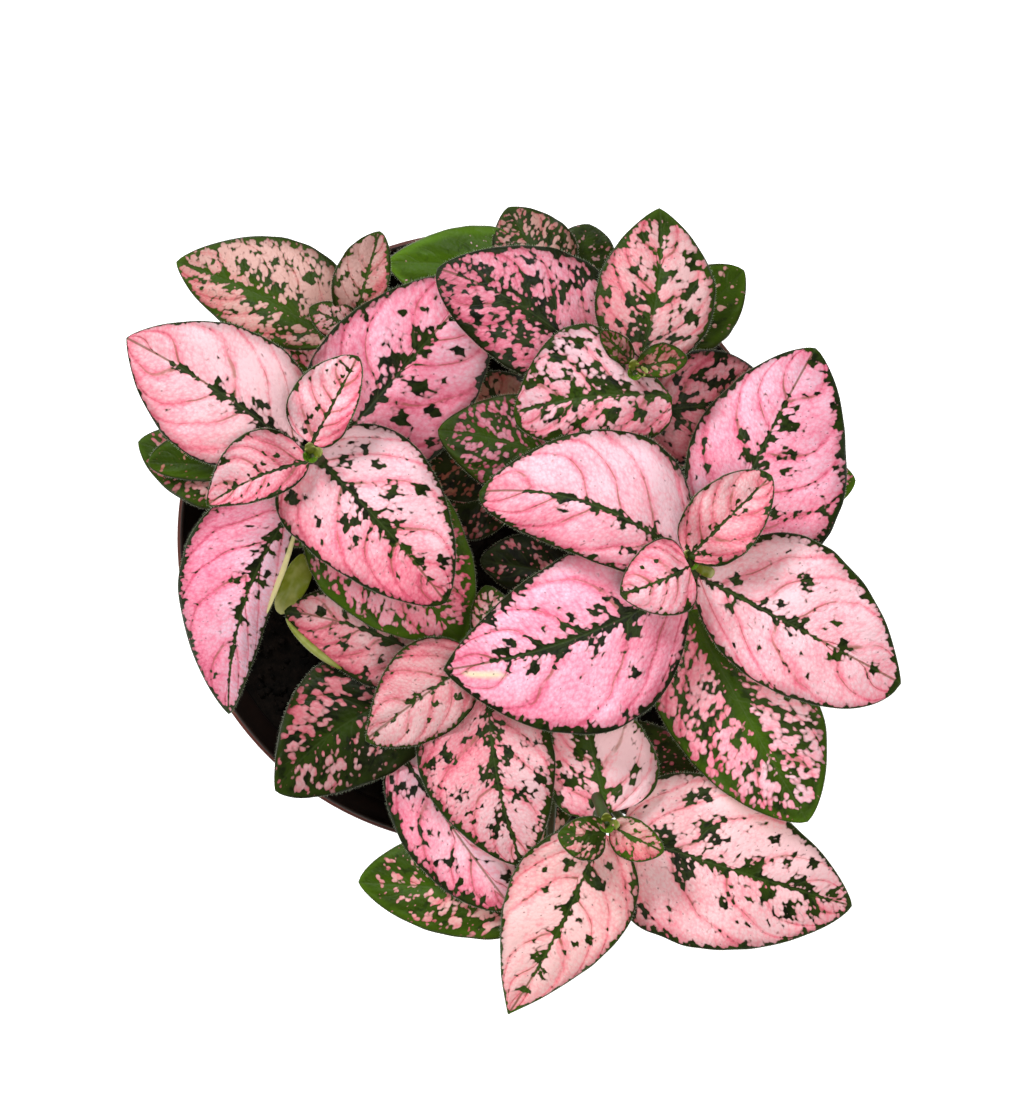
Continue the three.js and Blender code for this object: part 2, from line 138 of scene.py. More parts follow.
# Each stem: its root (x, y) on the soil, its top (x, y, height over the rim), and its leaves.
# Each leaf: base and tip (x, y, height over the rim); for its left and its right half, seen from the base,
# (half-width, where along the leaf it is widest, fullness); sideways bow of the midrib; arch; how far the
# left and the right margin rise over the midrib; and its markings.
STEMS = {}
STEMS["stem_left"] = (-14, 5), (-30.5, 14.5, 58), [
    ((-33, 15.5, 54), (-64.5, 36, 50), (12.5, .46, 1.7), (13, .36, 1.2), -1, 3, (-1, 1), Look(.16, .1,
        (1, .62), (.5, .12), (.35, .35), -1.2, .23, .25, (.56, .39), tip=.5, specks=.15, blots=[(46, -5, 110),
        (45, 10, 80), (27, -15, 100), (68, -2, 60), (12, 10, 100)])),
    ((-31, 15, 54), (-6.7, -12, 46), (14, .32, 1), (13, .28, .9), 1, 4, (-2, -1), Look(.43, .1, (.7, .6),
        (.4, .18), (.8, .6), -.95, 0, .2, (.72, -.59), specks=.6, blots=[(13, 30, 132), (15, 60, 77),
        (28, 50, 88), (42, 35, 121), (50, 75, 99), (52, 5, 198), (43, 0, 132), (37, -35, 132), (40, -28, 88),
        (47, -45, 88), (28, -60, 77), (62, 0, 99), (70, 0, 88), (76, 5, 99), (84, 60, 88), (10, -70, 110),
        (87, 0, 55)])),
    ((-30.5, 16.5, 58), (-22, 32, 62), (7.5, .37, 1), (4.5, .36, 1), 0, 0, (2, 2), Look(.23, .15, (.2, .85),
        (.4, .15), (.3, .3), -.98, .05, .25, (-.7, -.6), grain=.8, tip=1, specks=.3, blots=[(8, 40, 38),
        (16, 38, 32), (25, 35, 44), (33, 30, 38), (41, 25, 26), (50, 20, 22), (68, 20, 26), (75, 14, 32),
        (83, 10, 22), (83, 60, 44), (72, 65, 20)])),
    ((-31, 13.5, 58), (-49.5, 5.5, 56), (4.5, .4, 1.6), (8, .37, 1.3), -1, 1, (1, 2), Look(.46, .12,
        (.22, .85), (.4, .15), (.34, .34), -.98, .22, .25, (-.9, .47), grain=.8, tip=1, specks=.4,
        blots=[(25, -30, 55), (33, -45, 34), (38, -22, 34), (46, -18, 34), (54, -15, 34), (68, -8, 34),
        (75, -3, 27), (85, 0, 24), (70, -85, 62), (50, -95, 41), (40, 50, 27), (50, 40, 24)])),
    ((-33, 7.5, 45), (-48.5, -33.5, 18), (4.6, .5, 1.4), (14, .34, 1.2), -3.5, 5, (-7, -2), Look(.41, .1,
        (.4, .9), (.2, .1), (.4, .9), -1, 0, 0, (.12, -.9), specks=.3, blots=[(20, 0, 92), (25, -4, 110),
        (30, -6, 92), (36, -8, 101), (40, 40, 83), (36, 45, 64), (46, 35, 55), (43, -23, 83), (40, -19, 55),
        (49, -5, 64), (55, -12, 64), (58, 0, 74), (64, 50, 28), (70, 55, 28), (78, 55, 28), (27, 30, 55),
        (70, 5, 37), (13, -55, 37), (20, -40, 28)])),
    ((-26, 17.5, 45), (.5, 48.5, 33), (14.5, .32, 1), (15, .32, 1), 0, 4, (-1, -7.5), Look(.84, .1, (.9, .55),
        (.4, .2), (.7, .7), -.95, .31, 0, (-.7, -.05), grain=1.2, specks=.4, blots=[(43, 12, 211),
        (58, 5, 176), (65, 3, 88), (40, -30, 141), (25, -35, 141), (37, -60, 123), (33, 10, 106),
        (25, 30, 79), (62, 55, 70), (70, 40, 62), (50, 80, 70), (65, -45, 79), (25, -85, 88), (50, -50, 70),
        (75, -10, 62)])),
    ((-29, 10.5, 39), (-4, -19.5, 33), (15, .4, 1.1), (13.5, .4, 1.4), 0, 2, (-1, -1), Look(1.18, .75,
        (1.2, .9), (.5, .3), (2.4, 2.4), -.25, .15, .15, (-.9, .47), tip=4)),
    ((-36, 8.5, 33), (-65, 18, 25), (8, .52, 1.6), (8, .42, 1.2), 0, 2, (-1, -1), Look(.6, .7, (1.2, .9),
        (.5, .3), (1.6, 1.6), .1, .55, .43, tip=4)),
    ((-39.5, 13, 37), (-62.5, 14, 31), (3.2, .55, 1.1), (6.5, .5, 1.2), 0, 1, (-1, 0), Look(-.4, 1, (3, 1),
        (1, 1), (3, 3), .7, .69, .84, patches=[(20, -30, 80), (35, -60, 60), (50, -20, 50)])),
    ((-24, 8, 18), (-50, 6, 10), (9, .42, 1.3), (9, .42, 1.3), 0, 2, (-1, -1), Look(.6, .5)),
]
STEMS["stem_right"] = (16, -4), (37, -4.5, 63), [
    ((36, -4.2, 60), (-.6, 8, 56), (9.5, .43, 1), (14.7, .34, 1.1), -4.2, 4, (-2, -1), Look(.48, .15,
        (.42, .62), (.5, .12), (.6, .6), -1.2, .16, .15, (.21, .37), blots=[(62, 10, 100), (34, 12, 100),
        (20, 0, 110), (25, 55, 90), (10, 0, 90), (46, 10, 60)])),
    ((38.5, -7, 60), (75.5, -26.5, 52), (15.2, .4, 1.5), (12, .5, 1.1), 0, 4, (-1, -2), Look(.19, .15,
        (.5, .5), (.5, .15), (.9, .5), -1, 0, .23, (-.08, -.23), specks=.4, blots=[(48, 5, 108), (37, 15, 86),
        (42, 55, 115), (52, 62, 43), (62, 30, 72), (68, 15, 51), (70, -2, 115), (86, 0, 86), (17, -30, 86),
        (30, -35, 57), (27, -75, 29), (15, 20, 72), (30, 10, 64), (8, 0, 72)])),
    ((36.5, -3.7, 65), (51, 10.7, 68), (7, .43, 1), (6.4, .4, 1.2), 0, 1, (2, 2), Look(.46, .2, (.22, .75),
        (.4, .15), (.32, .36), -1, .2, .32, (-.21, -.35), grain=.8, tip=1, specks=.3, blots=[(2, 0, 106),
        (10, 10, 46), (62, 15, 37), (80, 15, 40), (33, 20, 23), (14, 50, 27), (12, -25, 33), (15, -50, 30),
        (18, -75, 33), (50, -95, 53), (75, -90, 46), (30, -90, 40)])),
    ((36.7, -5.3, 66), (24.5, -10.4, 61.5), (7, .3, 1), (7, .3, 1), .3, 3, (-2, -2), Look(.21, .2, (.2, 1),
        (.2, .1), (.32, .25), -1, .11, .22, (-.9, -.35), grain=.8, tip=1, blots=[(20, 0, 60), (33, 2, 60),
        (44, 0, 68), (65, 0, 45), (78, 0, 38), (60, -60, 30), (38, -50, 22), (20, 85, 45)])),
    ((36.5, -8.7, 52), (-7.2, -24.2, 47), (18, .43, 1.4), (14.7, .34, 1.3), 2.4, 4, (-2, -2), Look(.74, .05,
        (1.3, .72), (1.2, .3), (1.2, .6), -1, .07, 0, (-.29, .11), specks=.3, bleach=(.81, .9, .22, .7),
        blots=[(47, -20, 117), (35, -20, 117), (40, 15, 117), (66, 15, 117), (57, -30, 54), (72, -30, 81),
        (76, -10, 108), (30, 55, 108), (24, 20, 81), (68, -95, 136), (76, -95, 153), (62, -95, 90),
        (20, -10, 108), (62, 0, 108)])),
    ((42, -2, 51), (61, 34.7, 41), (12.2, .43, 1.3), (18, .32, 1.1), .7, 4, (-2, -3), Look(.67, .1, (.6, .6),
        (.4, .1), (.5, 1.4), -.9, .2, 0, (-.45, -.04), specks=.8, blots=[(63, -15, 144), (55, -5, 86),
        (53, -30, 94), (72, -15, 58), (42, -10, 115), (43, -35, 101), (42, 15, 86), (50, 30, 86),
        (38, 80, 86), (30, 65, 72), (25, -40, 94), (30, -60, 72), (37, -85, 94), (20, -85, 108),
        (93, -20, 72)])),
    ((38, -13.3, 42.5), (59.7, -52.4, 39), (13, .5, 1.5), (14, .37, 1.1), -.5, 2, (-1, -1), Look(.59, .5,
        (2.2, .95), (.7, .4), (1.8, 1.3), -.12, 0, .2, (-.9, -.37), grain=1.15, tip=4, blots=[(30, 0, 336),
        (45, 5, 315), (60, 0, 252)])),
    ((49, 9, 27), (70, 10.8, 24), (6, .5, 1.3), (6, .5, 1.3), 0, 1, (-1, -1), Look(.5, .6, cover=0)),
    ((22, -8, 22), (-.8, -4.2, 20), (6, .42, 1.2), (7, .5, 1.4), 0, 1, (-1, -1), Look(.65, .1, (1.5, .9),
        (.8, .6), (2, 2), .5, .65, .3)),
    ((31, -9, 22), (62, -20, 15), (9, .42, 1.3), (9, .42, 1.3), 0, 2, (-1, -1), Look(.6, .4)),
]
STEMS["stem_upper"] = (11, 5), (27.3, 29.3, 57), [
    ((27.6, 29.5, 55), (32, 59.6, 49), (10.8, .45, 1.6), (10.8, .43, 1.4), -1.6, 3, (-1, -1), Look(.33, .4,
        (.6, 1), (.3, .2), (.9, .7), -.55, .39, .36, (-.71, .45), tip=3, specks=.8, blots=[(20, 15, 120),
        (33, 10, 120), (43, 0, 100), (56, -12, 120), (60, 42, 80), (70, 27, 70), (42, 40, 140), (44, 82, 100),
        (34, 33, 100), (42, 25, 80), (27, 35, 120), (26, 60, 90), (22, 90, 120), (66, -65, 60), (73, -70, 80),
        (55, -60, 80), (48, -45, 100), (35, -62, 90), (38, -75, 80), (23, -60, 90), (80, 50, 100),
        (87, -20, 80)])),
    ((34, 25, 56), (5.5, 22.2, 52), (9, .4, .8), (13, .55, 1.9), -1.6, 2, (-3, 1), Look(.24, .3, (.7, .9),
        (.3, .2), (.7, .7), -.5, .28, .19, (.01, .39), specks=.7, blots=[(70, -70, 105), (63, -80, 73),
        (55, -75, 105), (58, -45, 95), (63, -35, 95), (60, -10, 137), (45, -40, 105), (45, -15, 168),
        (35, -12, 126), (85, -80, 73), (87, -60, 84), (80, -50, 63), (70, 30, 126), (62, 20, 95),
        (61, 50, 105), (37, 40, 147), (42, 60, 95), (73, 80, 105), (56, 75, 105), (20, 50, 95),
        (25, 20, 84)])),
    ((26.7, 31.2, 58), (21, 36.6, 60), (2.2, .42, 1.2), (2.4, .42, 1.2), 0, 0, (1, 1), Look(-.34, .9, (.4, 1),
        (.3, .3), (.4, .4), -.1, .85, .46, grain=.7, tip=.6)),
    ((27.3, 30.1, 58), (36.7, 31.7, 59), (3.6, .49, 1.4), (2.6, .45, 1.2), 0, 1, (1, 1), Look(-.02, .9,
        (.3, 1), (.3, .3), (.8, .8), -.4, .74, .61, grain=.7, tip=.8)),
    ((21.2, 29.9, 49), (-8.3, 48.9, 46), (10.6, .45, 1.2), (13.4, .3, 1), -2.3, 3, (-1, -1), Look(1.08, .1,
        (1, .8), (.5, .3), (1.1, 1.1), -.4, .44, .07, (.63, .31), blots=[(42, 0, 242), (50, -10, 186),
        (58, 10, 158), (78, -45, 121), (38, -50, 140), (35, -85, 167), (40, -30, 140), (55, -30, 140),
        (52, -42, 112), (65, 0, 112), (72, 35, 112), (45, 40, 140), (60, 45, 112), (55, 60, 140),
        (45, 80, 121), (68, 65, 93), (40, 40, 121)])),
    ((27, 22.5, 44), (54, 25.5, 37), (10.5, .5, 1.4), (10.5, .4, 1.2), 0, 3, (-1, -2), Look(.68, .1, (.8, .8),
        (.4, .2), (.8, .8), -.6, .62, .17, (-.9, .21), blots=[(50, 50, 120), (33, 50, 80), (38, 5, 150),
        (60, 40, 120), (70, 50, 90), (65, 80, 100), (45, 25, 80), (30, -30, 120)])),
    ((34, 35, 33), (48.8, 50.1, 27), (7.5, .5, 1.3), (6.5, .43, 1.4), 0, 1, (-1, -1), Look(-.4, .85, (2, 1),
        (.6, .6), (2, 2), .75, .6, .55, patches=[(50, 30, 40), (60, -30, 50), (35, 50, 40), (72, 20, 30),
        (45, -50, 40), (80, -20, 30)])),
    ((21.4, 11.4, 42.5), (-8.3, 19.6, 42.5), (10.5, .36, 1.1), (10.5, .34, 1), -1.3, 1, (-1, -1), Look(1.02,
        .6, (1.1, .9), (.5, .3), (1.5, 1.1), .1, .63, tip=4, blots=[(55, 10, 153), (50, -25, 119),
        (73, -10, 85), (62, -20, 85), (85, 50, 119)])),
    ((20, 14, 15), (46, 25, 9), (8, .42, 1.3), (8, .42, 1.3), 0, 2, (-1, -1), Look(.6, .4)),
]
STEMS["stem_bottom"] = (10, -20), (22.6, -52.3, 46), [
    ((21.8, -54, 42), (4.5, -89.5, 26), (11.1, .3, 1.5), (12, .37, 1.6), .9, 5, (-1, -2), Look(.04, .3,
        (.45, .6), (.3, .1), (.5, .5), -.95, 0, .43, (-.37, .06), specks=.5, blots=[(17, 0, 110),
        (40, -5, 119), (65, -10, 135), (20, -35, 101), (27, -65, 59), (22, 25, 110), (13, 35, 68),
        (42, 20, 68), (48, 55, 59), (53, 40, 51), (73, 20, 68), (85, 30, 59), (85, 0, 68), (15, 90, 110),
        (30, 0, 85), (52, -3, 76)])),
    ((25, -54.5, 36), (69.2, -69.2, 25), (15.2, .3, 1.1), (16.2, .34, 1.1), 0, 5, (-1, -1), Look(.09, .15,
        (.7, .85), (.3, .1), (.8, 1), -.85, 0, .32, (-.51, -.33), specks=.6, blots=[(35, 35, 209),
        (18, 10, 190), (22, 65, 95), (28, 80, 114), (30, -20, 171), (55, 8, 190), (48, -40, 114),
        (20, -80, 114), (63, -15, 152), (75, -40, 171), (60, 60, 85), (42, 0, 123), (75, 20, 114),
        (82, 0, 133), (85, -40, 114), (90, 20, 114), (78, 60, 85), (68, 40, 76)])),
    ((22.4, -53.8, 47), (13.5, -54.2, 49), (4.9, .36, 1), (3.4, .34, 1), 0, 1, (0, 0), Look(-.31, .4,
        (.35, 1), (.3, .3), (.6, .6), .15, .34, .5, grain=.75, tip=.8, patches=[(50, -20, 90), (60, 50, 80),
        (40, 50, 60)])),
    ((23.3, -52.5, 47), (32.9, -57.2, 48), (3.3, .36, 1), (4.3, .42, 1.2), 0, 1, (0, 0), Look(-.09, .7,
        (.2, 1), (.2, .2), (.4, .28), -.9, .34, .54, (.4, -.9), grain=.6, tip=.8, blots=[(35, -15, 45),
        (45, -10, 38), (45, -80, 60), (30, -90, 45), (40, 40, 26), (75, 20, 30)])),
    ((22.6, -51, 40), (16.4, -26.7, 37), (9.3, .3, 1.3), (11.3, .3, 1), -.5, 2, (-5, -2), Look(-.2, .3,
        (.9, 1), (.3, .1), (.7, .6), -.85, 0, .27, (-.9, .62), specks=.5, blots=[(30, 50, 114), (50, 30, 114),
        (27, 30, 70), (35, 70, 70), (55, 15, 106), (60, 25, 88), (15, -20, 79), (25, -60, 70), (18, -55, 62),
        (60, -30, 70), (10, 30, 70), (20, 90, 97), (45, 75, 70)])),
    ((14.5, -67, 22), (-24, -65.5, 16), (9.6, .42, 1.3), (10.6, .5, 1.4), 0, 2, (-1, -1), Look(.31, .7,
        (1.2, 1), (.5, .3), (1.2, 1.2), .6, .28, .47, tip=8, patches=[(40, 50, 110), (50, 70, 100),
        (55, 40, 120), (35, 70, 90), (62, 30, 90), (63, 70, 80), (72, -5, 80), (80, -20, 60), (80, 20, 50),
        (30, 60, 90), (46, 30, 80), (88, 0, 40), (76, 40, 50), (90, -30, 35)])),
    ((20, -38, 16), (46, -54, 9), (9, .42, 1.3), (9, .42, 1.3), 0, 2, (-1, -1), Look(1.3, .4, cover=.6,
        painted_shade=.71)),
    ((16, -40, 12), (4, -62, 7), (7, .42, 1.3), (7, .42, 1.3), 0, 1, (-1, -1), Look(-.24, .4, warm=.37)),
]
STEMS["stem_front"] = (-2, -13), (0, -24, 43), [
    ((.9, -26.6, 40), (7.3, -60.7, 37), (11.1, .4, 1.3), (14.1, .32, 1), -1.6, 3, (-1, -1), Look(.46, .2,
        (.7, .95), (.3, .1), (1.4, 1.1), -.65, .24, .28, (-.9, -.38), grain=.85, specks=.5,
        blots=[(27, 0, 164), (40, 25, 131), (48, -10, 140), (38, -85, 106), (35, -60, 114), (60, 40, 106),
        (55, 75, 123), (57, -65, 90), (72, -10, 106), (78, -30, 106)])),
    ((-.6, -22.1, 43), (-21.6, -37.3, 42), (8.1, .47, 1.4), (9.3, .37, 1.6), -.4, 1, (-1, -1), Look(.28, .35,
        (.35, .2), (.2, .1), (.6, .4), -1, .41, .35, (-.9, -.35), grain=.8, tip=1, specks=.6,
        blots=[(50, -5, 70), (56, -5, 70), (52, -20, 40), (68, 0, 50), (75, 0, 40), (90, 10, 40),
        (45, 30, 40), (40, 45, 35), (28, 50, 45), (55, 50, 35), (30, 0, 50), (42, 0, 50), (38, -95, 80)])),
    ((2.5, -20.7, 40), (.5, -8.8, 37), (4, .42, 1.2), (4.5, .42, 1.2), 0, 1, (-1, -1), Look(-.35, .3, (.5, 1),
        (.3, .3), (.6, .6), -.3, .28, .39, grain=.7)),
    ((-2, -22, 13), (-8, -46, 7), (8, .42, 1.3), (8, .42, 1.3), 0, 1, (-1, -1), Look(.6, .4)),
]
STEMS["stem_front_left"] = (-11, -19), (-12.3, -30, 31), [
    ((-13, -29, 27), (-39.7, -48, 18), (12.5, .37, 1.1), (12.2, .3, 1.2), -2.8, 2, (-1, -1), Look(.64, .3,
        (1.6, .95), (.5, .3), (1.4, 1.4), .5, .58, .33, (-.9, -.61), grain=1.25, blots=[(40, 10, 260),
        (55, 0, 220), (70, 0, 160)], patches=[(50, -50, 200), (35, -55, 200), (62, -70, 130), (65, -40, 150),
        (55, -80, 140), (60, 50, 130), (75, 40, 150), (70, 75, 130), (85, 50, 110)])),
    ((-17, -38.5, 22), (5.3, -69.5, 26), (9, .45, 1.2), (9.5, .5, 1.2), -.3, 2, (-1, -1), Look(.36, .1,
        (.5, .3), (.3, .1), (.6, 1), -.8, .21, .09, (-.12, -.8), specks=.4, blots=[(42, -55, 96),
        (48, -33, 66), (65, -50, 88), (60, -70, 74), (20, -50, 110), (25, -30, 88), (15, -70, 74),
        (85, -80, 132), (87, 60, 103), (75, -60, 59)])),
    ((-11.5, -22, 29), (-37.3, -13.7, 28), (9.5, .3, 1), (9, .36, 1.2), -1.3, 1, (-1, -1), Look(.27, .2,
        (.3, .5), (.2, .1), (.7, .8), -.8, .48, .31, (.9, .9), specks=.6, blots=[(65, 15, 80), (57, -30, 90),
        (40, -5, 80), (24, 0, 90), (27, 45, 80), (53, 30, 70), (54, 50, 80), (35, 80, 80), (95, 0, 120),
        (75, -20, 70)])),
    ((-15, -31, 8), (-31, -43, 3), (6, .42, 1.3), (6, .42, 1.3), 0, 1, (-1, -1), Look(.6, .4)),
]
STEMS["stem_back_left"] = (-14, 19), (-25.5, 38, 34), [
    ((-27.7, 36.2, 31), (-58, 52, 23), (8, .48, 1.6), (12.7, .32, 1.1), -1.4, 3, (-1, -1), Look(-.23, .7,
        (1.1, .95), (.4, .3), (1, 1.1), -.45, .51, .56, (.6, .62), grain=.9, tip=2, specks=.8,
        blots=[(30, -10, 178), (42, -15, 178), (55, -20, 147), (65, -35, 126), (50, -60, 105), (28, -60, 126),
        (52, 15, 147), (65, 10, 116), (40, 30, 137), (28, 30, 147), (28, 75, 126)])),
    ((-24.4, 38.5, 33), (-19.1, 56.6, 36), (6, .46, 1.4), (4.6, .4, 1), 0, 1, (1, 1), Look(-.21, .55,
        (.3, .95), (.3, .2), (.6, .6), -.8, .65, .5, (-.9, -.9), grain=.8, tip=1, specks=.6,
        blots=[(40, -25, 75), (37, 5, 68), (50, 60, 60), (55, 10, 60), (42, 80, 68)])),
    ((-22.5, 38.1, 34), (-32.4, 42.6, 33), (3.8, .42, 1.2), (3.4, .42, 1.2), 0, 1, (0, 0), Look(-.25, .5,
        (.3, 1), (.3, .3), (.5, .5), -.4, .7, .4, grain=.6)),
    ((-20, 30, 13), (-46, 34, 7), (8, .42, 1.3), (8, .42, 1.3), 0, 1, (-1, -1), Look(.6, .5)),
]
STEMS["stem_back"] = (4, 24), (11, 47, 30), [
    ((9.6, 50.4, 27), (-18.5, 52.3, 20), (9, .42, 1.3), (7.6, .36, 1.3), 0, 2, (-1, -1), Look(-.4, .9,
        (1.2, 1), (.5, .3), (1.5, 3.5), 1.15, .11, .13)),
    ((13, 46, 30), (4.5, 62.2, 24), (7.5, .42, 1.2), (8.2, .4, 1.3), 0, 2, (-1, -1), Look(-.16, .5, (.7, 1),
        (.4, .3), (.9, .9), .08, .73, .58, grain=.8)),
    ((16, 46, 26), (20, 59.4, 20), (6.5, .42, 1.2), (7.2, .5, 1.2), 0, 2, (-1, -1), Look(-.36, .6, (.7, 1),
        (.4, .3), (.9, .9), .6, .82, .37, grain=.8)),
    ((6, 42, 11), (-15, 44, 5), (7, .42, 1.3), (7, .42, 1.3), 0, 1, (-1, -1), Look(.6, .5)),
]
STEMS["stem_middle"] = (1, 6), (7.5, 12, 26), [
    ((5, 8.5, 19), (-12, 4.2, 14), (7, .42, 1.2), (7, .42, 1.2), 0, 1, (-1, -1), Look(.94, .3, (1.2, 1),
        (.5, .3), (1, 1), .3, .88, .44)),
    ((8, 19, 24), (-1, 31, 20), (7, .42, 1.2), (7, .42, 1.2), 0, 1, (-1, -1), Look(-.26, .3, (.6, 1),
        (.3, .2), (.6, .6), -.7, .88, .68)),
    ((3.5, 13.5, 24), (-14, 14, 20), (7, .42, 1.2), (7, .42, 1.2), 0, 1, (-1, -1), Look(.19, .3, (.7, 1),
        (.4, .3), (.8, .8), .3, .97, .92)),
]

# Margins that are rolled up: leaf, side, from and to which share of the length, radius, cream tone.
CURLS = {"stem_left": (4, 1, 0.12, 0.52, 0.72, 1.0), "stem_front_left": (2, 1, 0.5, 0.97, 0.8, 0.1)}

# Small pale green flaps: the olive underside of the low leaf at the left, and the tip of a bud at the right.
FLAP_LOOK = Look(0, 1, (1, .8), (.3, .25), (.6, .6), -.8)
FLAPS = {
    "stem_front_left": ((-34, -3, 26.5), (-38, -14.4, 27.6), (3.2, .36, 1), (2.2, .6, 1.1), 0, .6, (-.4, .3),
                        FLAP_LOOK),
    "stem_right": ((37.6, -4.9, 61.6), (41.2, -6.9, 62), (1.1, .6, .8), (1.1, .6, .8), 0, .3, (-.3, -.3),
                   FLAP_LOOK),
}


def smooth_noise(xs, ys):
    """Smooth noise at places, from -1 to 1."""
    return np.array([noise.noise(Vector((x, y, 0.37))) for x, y in zip(*np.broadcast_arrays(xs, ys))])


def triples(*columns):
    return np.stack(np.broadcast_arrays(*columns), axis=1)


class Leaf:
    """A leaf's measures, in millimetres, and the points of its blade. u runs along it from 0 to 1, and v
    across it from 1 at the left margin to -1 at the right one."""

    def __init__(self, row, index, seed):
        base, tip, self.left, self.right, self.bow, self.arch, self.rise, self.marks = row
        self.base = np.array([base[0], base[1], RIM_HEIGHT + base[2]])
        self.tip = np.array([tip[0], tip[1], RIM_HEIGHT + tip[2]])
        across = np.array([base[1] - tip[1], tip[0] - base[0], 0.0])
        self.across = across / np.linalg.norm(across)
        self.length = float(np.linalg.norm(self.tip - self.base))
        self.phase = 1.7 * index
        self.seed = seed
        self.size = min(1.0, self.length / 30)

    def half_width(self, u, v):
        """Half-width at u, on the side of v."""
        u = np.clip(u, 1e-9, 1 - 1e-9)

        def side(width, belly, fullness):
            inner = (u / belly) ** (fullness * belly)
            return width * inner * ((1 - u) / (1 - belly)) ** (fullness * (1 - belly))

        return np.where(v > 0, side(*self.left), side(*self.right))

    def vein_place(self, u, v):
        """Runs along the leaf and is a whole number on each side vein."""
        start = u - VEIN_LEAN * np.abs(v) - VEIN_HOOK * np.abs(v) ** 3
        uneven = VEIN_UNEVEN * np.sin(8 * start + self.seed + 2 * np.sign(v))
        return start / VEIN_SPACING + uneven + np.where(v > 0, 0.15, 0.55) + 0.37 * self.seed

    def distances(self, u, v):
        """How far the margin and the place are from the midrib, and how far the nearest side vein is."""
        half = self.half_width(u, v)
        place = self.vein_place(u, v)
        return half, np.abs(v) * half, np.abs(place - np.round(place)) * VEIN_SPACING * self.length

    def middle(self, u, v):
        """The blade's middle surface, as in the solid that it stands for."""
        belly = 4 * u * (1 - u)
        fade = np.minimum(1, np.minimum(3 * u, 3 * (1 - u)))
        wave = WAVE_HEIGHT * v * v * np.sin(2 * np.pi * WAVE_COUNT * u + self.phase + np.sign(v))
        sideways = self.bow * belly + v * self.half_width(u, v)
        points = self.base + u[:, None] * (self.tip - self.base) + sideways[:, None] * self.across
        points[:, 2] += self.arch * belly + fade * (np.where(v > 0, *self.rise) * np.abs(v) ** 1.5 + wave)
        return points

    def relief(self, u, v):
        """How far the upper face bulges between the side veins and sinks along the midrib."""
        between = np.abs(np.sin(np.pi * self.vein_place(u, v))) ** 0.7
        fade = np.minimum(1, np.minimum(6 * u, 4 * (1 - u)))
        bulge = 2.2 * np.abs(v) * (1 - v * v) * (between - 0.35)
        groove = np.exp(-((np.abs(v) * self.half_width(u, v) / GROOVE_WIDTH) ** 2))
        return self.size * fade * (QUILT_HEIGHT * bulge - GROOVE_DEPTH * groove)

    def pale_streak_share(self, u, v):
        """How far the pale streak shows, if the leaf has one."""
        if not self.marks.bleach:
            return np.zeros_like(u)
        start, end, side, width = self.marks.bleach
        beyond = np.maximum(0, np.maximum(start - u, u - end)) * self.length
        across = (v - side) * self.half_width(u, v)
        return np.clip(1.3 - np.hypot(beyond / 1.5, across / width), 0, 1)

    def marking(self, u, v):
        """The field that the green shows where it is over noise: 1 is surely green, -1 surely pink."""
        half, offset, from_vein = self.distances(u, v)
        along = u * self.length
        rib_width, rib_share = self.marks.rib
        past_rib = np.clip(6 * (u - rib_share), 0, 2)
        rib = edge(offset, rib_width * np.clip(1.15 - u / rib_share, 0.05, 1) ** 0.7 + 0.05) - past_rib
        vein_width, vein_share = self.marks.veins
        outward = np.abs(v) / vein_share
        veins = edge(from_vein, vein_width * np.clip(1.6 - 1.6 * outward, 0.2, 1.6)) - outward ** 2 - past_rib
        swell = smooth_noise(0.45 * along + 5 * np.sign(v), self.seed)
        rim = edge((1 - np.abs(v)) * half, np.where(v > 0, *self.marks.rim) * (1 + 0.7 * swell))
        tip = 2 * edge((1 - u) * self.length, self.marks.tip)
        field = np.maximum.reduce([rib, veins, rim, tip, np.full_like(u, self.marks.cover)])

        def spot(hundredths):
            share, side, radius = (value / 100 for value in hundredths)
            x = side * self.half_width(share, side)
            return edge(np.hypot(np.sign(v) * offset - x, along - share * self.length), 1.1 * radius)

        for blot in self.marks.blots:
            field = np.maximum(field, spot(blot))
        for patch in self.marks.patches:
            field = np.minimum(field, -spot(patch))
        return np.clip(field, -1.2, 2)


def edge(distance, width):
    """1 at no distance, 0 at the width, and a gentle fall beyond it, where noise can still reach over 0."""
    x = 1 - distance / width
    return np.where(x > 0, x, 0.75 * x)


def add_object(name, data, place=(0, 0, 0)):
    thing = bpy.data.objects.new(name, data)
    thing.location = place
    bpy.context.scene.collection.objects.link(thing)
    return thing


def add_mesh(name, points, faces, materials, slots):
    """A smooth mesh object. Its points are in millimetres; slots has the number of each face's material."""
    mesh = bpy.data.meshes.new(name)
    mesh.from_pydata((np.asarray(points, float) * MM).tolist(), [], faces)
    for material in materials:
        mesh.materials.append(material)
    mesh.polygons.foreach_set("material_index", slots)
    mesh.polygons.foreach_set("use_smooth", [True] * len(faces))
    mesh.update()
    return add_object(name, mesh)


def circle(radius, count):
    angles = [2 * math.pi * k / count for k in range(count)]
    return [(radius * math.cos(angle), radius * math.sin(angle)) for angle in angles]


def ring_faces(offset, rings, sides, start, end):
    """Faces of a closed body of rings, whose first point is number offset, between its end points."""
    faces = []
    for r in range(rings - 1):
        for k in range(sides):
            a = offset + r * sides + k
            b = offset + r * sides + (k + 1) % sides
            faces.append((a, b, b + sides, a + sides))
    last = offset + (rings - 1) * sides
    for k in range(sides):
        faces.append((start, offset + (k + 1) % sides, offset + k))
        faces.append((end, last + k, last + (k + 1) % sides))
    return faces


